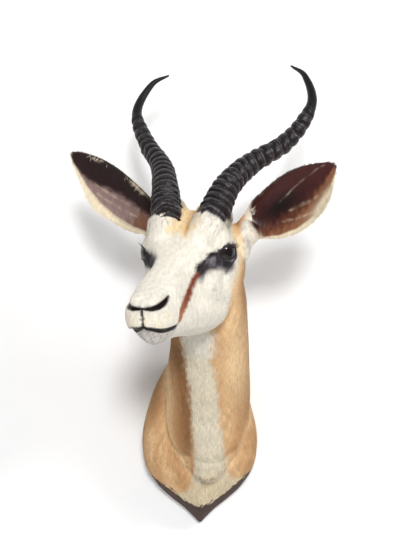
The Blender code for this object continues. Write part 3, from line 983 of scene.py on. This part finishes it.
def earColor(color, head, fine, side):
    inside, share, spread = earInside(head, side)
    out = head[:, 0] * side
    onEar = fade("earFoot", share) * fade("earSide", out)
    upperRim = fade("upperRim", spread) * fade("upperRimFoot", share) * fade("upperRimTip", share)
    lowerRim = fade("lowerRim", spread) * fade("lowerRimFoot", share) * (out > 66)
    edge = np.interp(share, *coatLines["earEdge"][side])
    low = fade("earLow", spread - edge + 0.06 * fine)
    if side > 0:
        # painted shade: near black deep in the middle of the cup of the animal's left ear
        deep = earSpot(share, spread, (0.36, 0.1), (0.3, 0.5), 0.9)
        red = fade("redLow", spread + 0.1 * fine) * fade("redTip", share)
        cup = layered(coatTones["earMaroon"], [("earCupShadow", deep), ("earRed", red), ("earRosy", low)])
    else:
        brown = fade("brownFoot", share + 0.05 * fine) * fade("brownLow", spread)
        cup = layered(coatTones["earDark"], [("earPink", low), ("earBrown", brown)])
    stretch = np.array([4, 1])  # an ear is about four times as long as half its width
    flat = np.column_stack([share, spread]) * stretch
    for rib in coatLines["earRibs"][side]:
        cup = layered(cup, [("earRim", (0.18 + 0.14 * fine) * bell(pathGap(flat, rib * stretch), 0.028))])
    if side > 0:
        cup = layered(cup, [("earRim", 0.9 * earSpot(share, spread, (0.7, 0.86), (0.16, 0.16), 0.9))])
    color = layered(color, [
        ("earBack", onEar),
        ("earDark", 0.9 * onEar * fade("darkTip", share + 0.02 * fine)),
        ("earDark", 0.85 * onEar * upperRim),
    ])
    return layered(mixed(color, cup, inside), [("earRim", 0.85 * lowerRim)])


def coatColor(spots, normals):
    head = toHead(spots)
    fine = ripple(spots * (1, 0.5, 0.5), 6, 3)
    broad = ripple(spots * (1, 0.4, 0.4), 38, 5)
    color = layered(coatTones["tan"], [
        ("paleTanAndHighlight", 0.55 * fade("lightPatches", broad + 0.5 * fine)),
        ("deepTanAndShade", 0.55 * fade("deepPatches", -broad + 0.5 * fine)),
    ])
    color = neckColor(color, spots, normals, fine)
    for part in (faceColor, markColor, noseColor):
        color = part(color, head, fine)
    for side in (1, -1):
        color = earColor(color, head, fine, side)
    return color * (1 + 0.07 * fine[:, None])


def bareMask(spots):  # where skin shows without a coat: lips, nostrils, lids and the ears' insides
    head = toHead(spots)
    sided = sidedOf(head)
    mouth, share = fromPath(sided, faceForm["mouth"])
    ring, front = eyeRing(sided)
    return np.max([
        fade("bareNostril", pathGap(sided, faceForm["nostril"])),
        fade("barePhiltrum", pathGap(head, faceForm["philtrum"])),
        fade("bareMouth", mouth) * fade("bareMouthEnd", share),
        fade("bareLid", ring) * front,
        *[earInside(head, side)[0] for side in (1, -1)],
    ], axis=0)


def paint(mesh, color):
    layer = mesh.color_attributes.new("coatTone", "FLOAT_COLOR", "POINT")
    values = np.column_stack([np.clip(color, 0, 1), np.ones(len(color))])
    layer.data.foreach_set("color", values.astype(np.float32).ravel())


def addValues(mesh, name, values):
    layer = mesh.attributes.new(name, "FLOAT", "POINT")
    layer.data.foreach_set("value", np.clip(values, 0, 1).astype(np.float32))


# Materials
def mixColor(tree, factor, first, second, mode="MIX"):
    mix = addNode(tree, "Mix")
    mix.data_type = "RGBA"
    mix.blend_type = mode
    for socket, value in ((mix.inputs[0], factor), (mix.inputs[6], first), (mix.inputs[7], second)):
        if isinstance(value, bpy.types.NodeSocket):
            tree.links.new(value, socket)
        else:
            socket.default_value = value
    return mix.outputs[2]


def attribute(tree, name, output="Fac"):
    layer = addNode(tree, "Attribute")
    layer.attribute_name = name
    return layer.outputs[output]


def noiseNode(tree, scale, detail=2.0, stretch=(1, 1, 1)):
    noise = addNode(tree, "TexNoise", {"Scale": scale, "Detail": detail})
    place = addNode(tree, "TexCoord").outputs["Object"]
    mapping = addNode(tree, "Mapping", {"Scale": stretch})
    tree.links.new(place, mapping.inputs["Vector"])
    tree.links.new(mapping.outputs[0], noise.inputs["Vector"])
    return noise


def twoTone(name, roughness, grain, dark, pale):  # a surface mottled between two colours
    material, tree, shader = newMaterial(name, roughness)
    noise = noiseNode(tree, *grain).outputs[0]
    tone = mixColor(tree, noise, (*linear(*dark), 1), (*linear(*pale), 1))
    tree.links.new(tone, shader.inputs["Base Color"])
    return material, tree, shader, noise, tone


def addRelief(tree, shader, height, distance, strength=1.0):
    relief = addNode(tree, "Bump", {"Distance": distance, "Strength": strength})
    tree.links.new(height, relief.inputs["Height"])
    tree.links.new(relief.outputs[0], shader.inputs["Normal"])


def grainGroup():
    group = bpy.data.node_groups.new("coatGrain", "ShaderNodeTree")
    sockets = [("Color", "INPUT", "Color"), ("Scale", "INPUT", "Float"), ("Amount", "INPUT", "Float"),
               ("Color", "OUTPUT", "Color"), ("Height", "OUTPUT", "Float")]
    for name, way, kind in sockets:
        group.interface.new_socket(name, in_out=way, socket_type="NodeSocket" + kind)
    links = group.links
    enter = group.nodes.new("NodeGroupInput")
    leave = group.nodes.new("NodeGroupOutput")
    noise = noiseNode(group, 5.0, 3, (1.0, 0.45, 0.3))
    links.new(enter.outputs["Scale"], noise.inputs["Scale"])
    shade = ranged(group, noise.outputs[0], (0, 1), (0.3, 0.7))
    dark = addNode(group, "Math")  # shade * amount + 1 - amount
    dark.operation = "MULTIPLY_ADD"
    less = addNode(group, "Math")
    less.operation = "SUBTRACT"
    less.inputs[0].default_value = 1.0
    links.new(enter.outputs["Amount"], less.inputs[1])
    for source, socket in zip((shade, enter.outputs["Amount"], less.outputs[0]), dark.inputs):
        links.new(source, socket)
    tinted = mixColor(group, 1.0, enter.outputs["Color"], dark.outputs[0], "MULTIPLY")
    links.new(tinted, leave.inputs["Color"])
    links.new(shade, leave.inputs["Height"])
    return group


coatGrain = grainGroup()


def coatMaterial(name, scale, amount, bump):
    material, tree, shader = newMaterial(name, 0.85)
    grain = addNode(tree, "Group")
    grain.node_tree = coatGrain
    grain.inputs["Scale"].default_value = scale
    grain.inputs["Amount"].default_value = amount
    tree.links.new(attribute(tree, "coatTone", "Color"), grain.inputs["Color"])
    tree.links.new(grain.outputs["Color"], shader.inputs["Base Color"])
    addRelief(tree, shader, grain.outputs["Height"], bump, 0.6)
    shader.inputs["Specular IOR Level"].default_value = 0.25
    return material, tree, shader


def skinMaterial():
    material, tree, shader = coatMaterial("skin", 420, 0.18, 0.0006)
    tree.links.new(ranged(tree, attribute(tree, "bare"), (0.85, 0.42)), shader.inputs["Roughness"])
    return material


skin, restSpots, restNormals = buildSkin(skinMaterial())
paint(skin.data, coatColor(restSpots, restNormals))
addValues(skin.data, "bare", bareMask(restSpots))
print("skin has", len(skin.data.polygons), "faces")

# Hair, as tapering blades combed over the skin
hairStyle = {
    "seed": 11,
    "stray": 0.16,
    "tint": 0.11,
    "clump": 0.09,
    "sunk": 0.4,
    "neckFlow": np.array([0.0, 0.5, -0.86]),
    "headFlow": np.array([0, 1.0, -0.12]),
    "drop": (0.004, 0.45, -0.9),  # how hair on the shoulders spreads, turns to the wall and falls
    "narrowing": 0.35,
    "wallGap": 0.4,
}
fadeEdges.update({
    "combHead": (70, 30), "combHeadLow": (-130, -105), "combDrop": (-8, -45),
    "combShoulder": (-125, -85), "combCrown": (32, 24), "faceHairBack": (112, 88), "offEar": (80, 70),
    "hairFree": (0.15, 0.5), "neckHairFront": (70, 95), "neckHairUnder": (-105, -130),
    "behindEar": (110, 130), "offWall": (-1, -6), "shoulderStart": (-170, -140),
    "shoulderRim": (-0.5, -4), "bandHair": (1, -6), "crownSide": (8, 15), "crownFoot": (-46, -34),
    "crownNear": (22, 16), "crownWide": (28, 24), "crownMiddle": (-26, -16), "crownTop": (8, 0),
    "faceHairLength": (-140, -40), "bandHairLength": (-2, 16), "crownWhite": (10, 16),
})


def skinSamples(mesh, coat, draw):  # roots with their normals, on the carved skin and on the plain one
    mesh.calc_loop_triangles()
    corners = np.empty(len(mesh.loop_triangles) * 3, np.int32)
    mesh.loop_triangles.foreach_get("vertices", corners)
    corners = corners.reshape(-1, 3)
    layers = (cornerValues(mesh) / mm, cornerValues(mesh, "normal"), restSpots, restNormals)
    a, b, c = (layers[0][corners[:, k]] for k in range(3))
    area = np.linalg.norm(np.cross(b - a, c - a), axis=1) / 2
    weight = area * (coat["density"](restSpots[corners].mean(axis=1)) + 1e-9)
    chosen = draw.choice(len(corners), size=coat["count"], p=weight / weight.sum())
    u, v = draw.random(coat["count"]), draw.random(coat["count"])
    over = u + v > 1
    u[over], v[over] = 1 - u[over], 1 - v[over]
    mix = np.stack([1 - u - v, u, v], axis=1)[:, :, None]
    roots, normals, rest, restOut = ((values[corners[chosen]] * mix).sum(axis=1) for values in layers)
    return roots, unit(normals), rest, unit(restOut)


def flattened(flow, normals):  # laid along the skin
    return unit(flow - normals * (flow * normals).sum(axis=1, keepdims=True))


def combDirection(spots, normals):
    head = toHead(spots)
    onHead = fade("combHead", head[:, 1]) * fade("combHeadLow", head[:, 2])
    flow = mixed(hairStyle["neckFlow"], headTurn @ hairStyle["headFlow"], onHead)
    aside, inward, down = hairStyle["drop"]
    drop = [aside * spots[:, 0], inward * fade("combDrop", spots[:, 1]), np.full(len(spots), down)]
    flow = mixed(flow, np.column_stack(drop), fade("combShoulder", spots[:, 1]))
    for side in (1, -1):
        base, run, _, _, length = earFrame(side)
        onEar = ((head * (side, 1, 1) - base) @ run / length > 0.02) & (head[:, 0] * side > 62)
        flow[onEar] = headTurn @ (run * (side, 1, 1))
    gap, along, axis = hornGap(head)
    onCrown = fade("combCrown", gap) * fade("tuftFoot", along) * (head[:, 1] < 75)
    return flattened(mixed(flow, axis @ headTurn.T, onCrown), normals)


def hairMesh(name, coat, roots, normals, flow, length, colors, draw):
    count, segments = len(roots), coat["segments"]
    stray = draw.normal(scale=hairStyle["stray"], size=(count, 3))
    flow = flattened(unit(flow + stray), normals)
    across = np.cross(flow, normals)
    rows = []
    for step in range(segments + 1):
        share = step / segments
        rise = coat["lift"] * math.sin(share * math.pi * 0.62)
        middle = roots - normals * hairStyle["sunk"] + flow * (length * share)[:, None]
        middle = middle + normals * (rise * length)[:, None]
        half = across * (coat["width"] * (1 - hairStyle["narrowing"] * share) / 2)
        rows += [middle] if step == segments else [middle - half, middle + half]
    spots = np.stack(rows, axis=1).reshape(-1, 3)
    spots[:, 1] = np.minimum(spots[:, 1], -hairStyle["wallGap"])  # no hair goes into the wall
    first = np.arange(count)[:, None] * len(rows)
    faces = [[0, 1, 3, 2]] * (segments - 1) + [[0, 1, 2]]
    loops = np.concatenate([first + 2 * step + np.array(face) for step, face in enumerate(faces)], axis=1)
    sizes = [len(face) for face in faces]
    starts = np.cumsum([0] + sizes[:-1]) + np.arange(count)[:, None] * sum(sizes)
    mesh = bpy.data.meshes.new(name)
    mesh.vertices.add(len(spots))
    mesh.vertices.foreach_set("co", (spots * mm).astype(np.float32).ravel())
    mesh.loops.add(loops.size)
    mesh.loops.foreach_set("vertex_index", loops.ravel().astype(np.int32))
    mesh.polygons.add(starts.size)
    mesh.polygons.foreach_set("loop_start", starts.ravel().astype(np.int32))
    mesh.update(calc_edges=True)
    tint = 1 + draw.normal(scale=hairStyle["tint"], size=count)
    tint = tint + hairStyle["clump"] * ripple(roots * (1, 0.3, 0.3), 3.5, 8)
    paint(mesh, np.repeat(colors * tint[:, None], len(rows), axis=0))
    return mesh


def faceDensity(spots):
    head = toHead(spots)
    onHead = fade("faceHairBack", head[:, 1]) * fade("headLow", head[:, 2])
    notEar = fade("offEar", np.abs(head[:, 0]))
    return onHead * notEar * (1 - fade("hairFree", bareMask(spots)))


def neckDensity(spots):
    head = toHead(spots)
    offHead = fade("neckHairFront", head[:, 1]) + fade("neckHairUnder", head[:, 2])
    notEar = fade("offEar", np.abs(head[:, 0])) + fade("behindEar", head[:, 1])
    notBack = fade("offWall", spots[:, 1]) * (1 - fade("shoulderStart", spots[:, 1]))
    return np.clip(offHead, 0, 1) * np.clip(notEar, 0, 1) * notBack


def shoulderDensity(spots):
    return fade("shoulderStart", spots[:, 1]) * fade("shoulderRim", spots[:, 1])


def earDensity(spots):
    head = toHead(spots)
    dense = np.zeros(len(spots))
    for side in (1, -1):
        inside, share, _ = earInside(head, side)
        onEar = (share > -0.05) & (head[:, 0] * side > 64)
        dense = np.maximum(dense, onEar * (1 - 0.97 * inside))
    return dense


def bandDensity(spots):
    low = fade("bandHair", aboveBand(spots)) * fade("bandFront", spots[:, 1])
    return low * (spots[:, 1] < -3)


def crownDensity(spots):
    head = toHead(spots)
    gap, along, _ = hornGap(head)
    outer = 0.12 + 0.88 * fade("crownSide", np.abs(head[:, 0]))
    front = fade("crownFoot", along) * fade("crownNear", gap)
    near = fade("crownWide", gap) * np.maximum(fade("crownMiddle", along), front)
    return near * outer * fade("crownTop", along) * (head[:, 1] < 72)


def tuftDensity(spots):  # long pale hairs inside the ears
    head = toHead(spots)
    dense = np.zeros(len(spots))
    for side in (1, -1):
        _, share, spread = earInside(head, side)
        tufts = [amount * earSpot(share, spread, *tuft) for amount, *tuft in coatLines["earTufts"][side]]
        dense = np.maximum(dense, sum(tufts) * (head[:, 0] * side > 66) * (share > 0.04))
    return dense


coats = {
    "face_coat": {"density": faceDensity, "count": 190000, "segments": 1, "length": (3.6, 6.4),
                  "width": 0.5, "lift": 0.16},
    "neck_coat": {"density": neckDensity, "count": 64000, "segments": 2, "length": (9.0, 15.0),
                  "width": 0.6, "lift": 0.1},
    "shoulder_coat": {"density": shoulderDensity, "count": 64000, "segments": 2, "length": (9.0, 15.0),
                      "width": 0.65, "lift": 0.06},
    "ear_coat": {"density": earDensity, "count": 70000, "segments": 1, "length": (2.5, 4.5),
                 "width": 0.45, "lift": 0.08},
    "band_coat": {"density": bandDensity, "count": 20000, "segments": 2, "length": (2.2, 3.8),
                  "width": 0.7, "lift": 0.03},
    "crown_coat": {"density": crownDensity, "count": 16000, "segments": 2, "length": (5.0, 9.0),
                   "width": 0.55, "lift": 0.2},
    "ear_tufts": {"density": tuftDensity, "count": 1500, "segments": 2, "length": (5.0, 10.0),
                  "width": 0.5, "lift": 0.2},
}


def growCoats(skin):
    material = coatMaterial("hair", 900, 0.12, 0.0002)[0]
    for index, (name, coat) in enumerate(coats.items()):
        draw = np.random.default_rng(hairStyle["seed"] + index)
        roots, normals, rest, restOut = skinSamples(skin.data, coat, draw)
        flow = combDirection(rest, normals)
        shortest, longest = coat["length"]
        length = shortest + (longest - shortest) * draw.random(len(roots))
        head = toHead(rest)
        colors = coatColor(rest, restOut)
        if name == "face_coat":
            length *= 0.5 + 0.5 * fade("faceHairLength", head[:, 1])
        if name == "shoulder_coat":  # short on the dark band at the edge
            length *= 0.25 + 0.75 * fade("bandHairLength", aboveBand(rest))
        if name == "crown_coat":  # stands up round the horns
            normals, flow = hornSpoke(head) @ headTurn.T, hornGap(head)[2] @ headTurn.T
            colors = layered(colors, [
                ("white", 0.5 * fade("crownWhite", np.abs(head[:, 0]))),
                ("eyeGrey", 0.6 * (draw.random(len(roots)) < 0.08)),
            ])
        if name == "ear_tufts":
            colors = coatTones["earRim"]
            flow = unit(flow * 0.6 + np.array([0, -0.1, -0.9]))
        mesh = hairMesh(name, coat, roots, normals, flow, length, colors, draw)
        addPiece(name, mesh, material)
        print(name, "has", len(mesh.polygons), "faces")


growCoats(skin)

# Horns: a tapering tube along each path, with slanted rings up to two thirds
hornForm = {
    "paths": {
        "left_horn": [(32, 27, 49), (41, 59, 79), (61, 98, 102), (100, 141, 127), (124, 176, 169),
                      (111, 201, 205), (88, 217, 220)],
        "right_horn": [(-30, 26, 52), (-43, 59, 79), (-63, 101, 102), (-97, 141, 128),
                       (-123, 173, 169), (-111, 203, 205), (-89, 217, 217)],
    },
    "baseRadius": 17.0,
    "tipRadius": 1.5,
    "taper": 0.95,
    "root": 25.0,  # length under the skin
    "sunkShare": 0.04,  # and its share of the rows
    "rings": 17,
    "ringedShare": 0.65,
    "ringHeight": 4.3,
    "roundness": 2.2,  # round bumps with a narrow groove between them
    "footHeight": 1.2,
    "fibres": (0.16, 0.3),
    "slant": 0.35,
    "columns": 80,
    "rows": 620,
}


def hornFrames(path, share):
    centre = alongRows(path, share)
    run = unit(alongRows(path, np.clip(share + 0.004, 0, 1)) - alongRows(path, np.clip(share - 0.004, 0, 1)))
    guide = np.array([1.0, 0, 0])
    order = np.argsort(share)
    guides = np.empty_like(run)
    for index in order:
        guide = guide - run[index] * (guide @ run[index])
        guide /= np.linalg.norm(guide)
        guides[index] = guide
    return centre, run, guides, np.cross(run, guides)


def hornBeat(share, angle):  # counts the rings from the base up
    lean = 0.5 * hornForm["slant"] * np.sin(angle)
    wobble = 0.05 * np.sin(2 * angle + 31 * share) + 0.03 * np.sin(5 * angle + 47 * share)
    return (share * hornForm["rings"] + lean + wobble) / hornForm["ringedShare"]


def hornRadius(share):
    tip, base = hornForm["tipRadius"], hornForm["baseRadius"]
    return tip + (base - tip) * (1 - share) ** hornForm["taper"]


def ringFade(share):
    return smoothStep(hornForm["ringedShare"] + 0.02, hornForm["ringedShare"] - 0.06, share)


def placeHorn(path):
    def place(around, along):
        sunkShare = hornForm["sunkShare"]
        reach = along * (1 + sunkShare) - sunkShare  # below zero in the root, under the skin
        share = np.clip(reach, 0, 1)
        sunk = np.clip(-reach, 0, 1) / sunkShare
        levels, inverse = np.unique(np.round(share, 6), return_inverse=True)
        centre, run, guide, upright = (values[inverse] for values in hornFrames(path, levels))
        angle = around * 2 * math.pi
        beat = hornBeat(reach, angle)
        phase = beat % 1.0
        ridge = 1 - np.abs(2 * phase - 1) ** hornForm["roundness"]
        number = np.floor(beat)
        uneven = 0.92 + 0.12 * np.sin(number * 2.4 + 1.0) * np.sin(number * 5.1)
        front = 0.85 + 0.15 * np.sin(angle - 0.6)
        scallop = 1 + 0.06 * np.sin(5 * angle + 2.1 * number) + 0.05 * np.sin(11 * angle + number)
        height = hornForm["ringHeight"] * (0.45 + 0.55 * (1 - share)) * ringFade(share)
        grow = height * ridge * uneven * front * scallop + hornForm["footHeight"] * bell(reach - 0.008, 0.014)
        fine, coarse = hornForm["fibres"]
        fibres = fine * np.sin(angle * 31 + 9 * np.sin(share * 30))
        fibres = fibres + coarse * ridge * np.sin(angle * 17 + 3.1 * number)
        radius = hornRadius(share) + grow + fibres * (1 - share) - 0.25
        away = guide * np.cos(angle)[:, None] + upright * np.sin(angle)[:, None]
        return fromHead(centre + away * radius[:, None] - run * (sunk * hornForm["root"])[:, None])

    return place


def hornMaterial():
    material, tree, shader, noise, base = twoTone("horn", 0.4, (160, 6), (5, 4, 5), (19, 15, 17))
    maroon = mixColor(tree, attribute(tree, "under"), base, (*linear(30, 13, 14), 1))
    # painted highlight: a pale grey line along the upper side of each ring, where light catches it
    ringHighlighted = mixColor(tree, attribute(tree, "ridge"), maroon, (*linear(124, 114, 118), 1))
    tree.links.new(ringHighlighted, shader.inputs["Base Color"])
    tree.links.new(ranged(tree, noise, (0.3, 0.52)), shader.inputs["Roughness"])
    shader.inputs["Specular IOR Level"].default_value = 0.28
    addRelief(tree, shader, noise, 0.0004, 0.5)
    return material


def buildHorns():
    keratin = hornMaterial()
    levels = np.linspace(0, 1, 400)
    for name, path in hornForm["paths"].items():
        path = np.array(path, float)
        shape = mappedGrid(hornForm["columns"], hornForm["rows"], placeHorn(path))
        moved(shape, lambda spots: spots * mm)
        mesh = joined(name + "_sheath", [shape])
        horn = addPiece(name + "_sheath", mesh, keratin)
        spots = toHead(cornerValues(mesh) / mm)
        _, share = fromPath(spots, alongRows(path, levels))
        nearest = np.round(share * (len(levels) - 1)).astype(int)
        centre, _, guide, upright = (values[nearest] for values in hornFrames(path, levels))
        offset = spots - centre
        angle = np.arctan2((offset * upright).sum(axis=1), (offset * guide).sum(axis=1))
        below = np.clip((path[0] - spots) @ unit(path[1] - path[0]), 0, None) / hornForm["root"]
        phase = hornBeat(share - below * hornForm["sunkShare"], angle) % 1.0
        striae = 0.5 + 0.5 * ripple(spots * (1, 1, 0.4), 2.2, 4)
        # painted highlight: a thin pale line just above the crest of each ring and a fainter one below it,
        # broken by striae, plus a faint even speckle from the striae
        line = np.maximum(bell(phase - 0.55, 0.05), 0.5 * bell(phase - 0.3, 0.04)) * ringFade(share)
        addValues(mesh, "ridge", 0.8 * line * striae + 0.03 * striae)
        addValues(mesh, "under", smoothStep(0.2, -0.8, cornerValues(mesh, "normal")[:, 2]))
        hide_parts(name)
    print("horns are ringed")


buildHorns()

# Glass eyes, the wet rims of the lids and the lashes
eyeLook = {
    "iris": linear(40, 15, 11),
    "pupil": linear(7, 5, 7),
    "darkened": ((0.6, 0.15), (0.8, 1.0)),  # the middle, and again the edge
    "rim": 0.85,
    "lashes": 13,
    "lashSpan": (1.9, 3.0),
    "lashLength": 4.8,
    "lashRadii": (0.25, 0.05),
    "lashLift": 2.3,
}


def eyeMaterial():
    material, tree, shader = newMaterial("glassEye", 0.04)
    tree.links.new(attribute(tree, "coatTone", "Color"), shader.inputs["Base Color"])
    return material


def lidSpot(around):  # place on the eyeball of the lids' edge
    outward, forward, up = eyeAxes()
    a = eyeForm["halfLength"] * np.cos(around)
    reach = np.where(np.sin(around) > 0, eyeForm["upperReach"], eyeForm["lowerReach"])
    b = reach * np.sin(around)
    c = np.sqrt(np.maximum(eyeForm["radius"] ** 2 - a ** 2 - b ** 2, 1))
    return a[:, None] * forward + b[:, None] * up + c[:, None] * outward


def placeRim(around, along):
    turn = around * 2 * math.pi
    spot = lidSpot(turn)
    ahead = unit(lidSpot(turn + 0.02) - lidSpot(turn - 0.02))
    outward = unit(spot)
    beside = np.cross(ahead, outward)
    tube = along * 2 * math.pi
    thick = eyeLook["rim"] * (1 + 0.5 * smoothStep(0, 0.9, np.sin(turn)))
    offset = outward * (np.cos(tube) * thick)[:, None] + beside * (np.sin(tube) * thick)[:, None]
    return spot + outward * 0.5 + offset


def buildEyes():
    glass = eyeMaterial()
    wet = twoTone("lidRim", 0.35, (500,), (9, 6, 7), (26, 19, 20))[0]
    _, forward, up = eyeAxes()
    centre = np.array(eyeForm["centre"])
    rims, lashes = [], []
    draw = np.random.default_rng(5)
    for side, name in ((1, "left_eye"), (-1, "right_eye")):
        flip = np.array([side, 1, 1])
        shape = ball((0, 0, 0), [eyeForm["radius"]] * 3, segments=96)
        moved(shape, lambda spots: fromHead(spots + centre * flip) * mm)
        mesh = joined(name + "_glass", [shape])
        eye = addPiece(name + "_glass", mesh, glass)
        local = (toHead(cornerValues(mesh) / mm) * flip - centre) / eyeForm["radius"]
        off = np.hypot(local @ forward * 0.72, local @ up)
        tone = eyeLook["iris"] * (1 + 0.5 * ripple(local, 0.2, 2)[:, None])
        for dark in eyeLook["darkened"]:
            tone = mixed(tone, eyeLook["pupil"], smoothStep(*dark, off))
        paint(mesh, tone)
        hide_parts(name)
        rim = mappedGrid(72, 12, placeRim)
        rims.append(moved(rim, lambda spots: fromHead((spots + centre) * flip) * mm))
        around = np.linspace(*eyeLook["lashSpan"], eyeLook["lashes"])
        around = around + draw.normal(scale=0.04, size=eyeLook["lashes"])
        for start in lidSpot(around) * 1.1:
            lash = bmesh.new()
            thick, thin = eyeLook["lashRadii"]
            bmesh.ops.create_cone(
                lash, segments=4, radius1=thick, radius2=thin, depth=eyeLook["lashLength"], cap_ends=True
            )
            aim = unit(unit(start) * 0.9 + up * (0.35 + 0.2 * draw.random()) - forward * 0.35)
            turn = Vector(aim).to_track_quat("Z", "X").to_matrix()
            bmesh.ops.translate(lash, verts=lash.verts, vec=(0, 0, eyeLook["lashLift"]))
            bmesh.ops.rotate(lash, verts=lash.verts, matrix=turn)
            lashes.append(moved(lash, lambda spots: fromHead((spots + start + centre) * flip) * mm))
    addPiece("lid_rims", joined("lid_rims", rims), wet)
    addPiece("eyelashes", joined("eyelashes", lashes), wet)
    print("eyes are set")


buildEyes()


wood, tree, shader, grain, _ = twoTone(
    "boardWood", 0.6, (90, 8, (1.0, 1.0, 0.12)), (126, 88, 54), (186, 146, 100)
)
addRelief(tree, shader, grain, 0.0003)
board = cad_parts["backboard"]
board.data.materials.clear()
board.data.materials.append(wood)
print("board is grained")
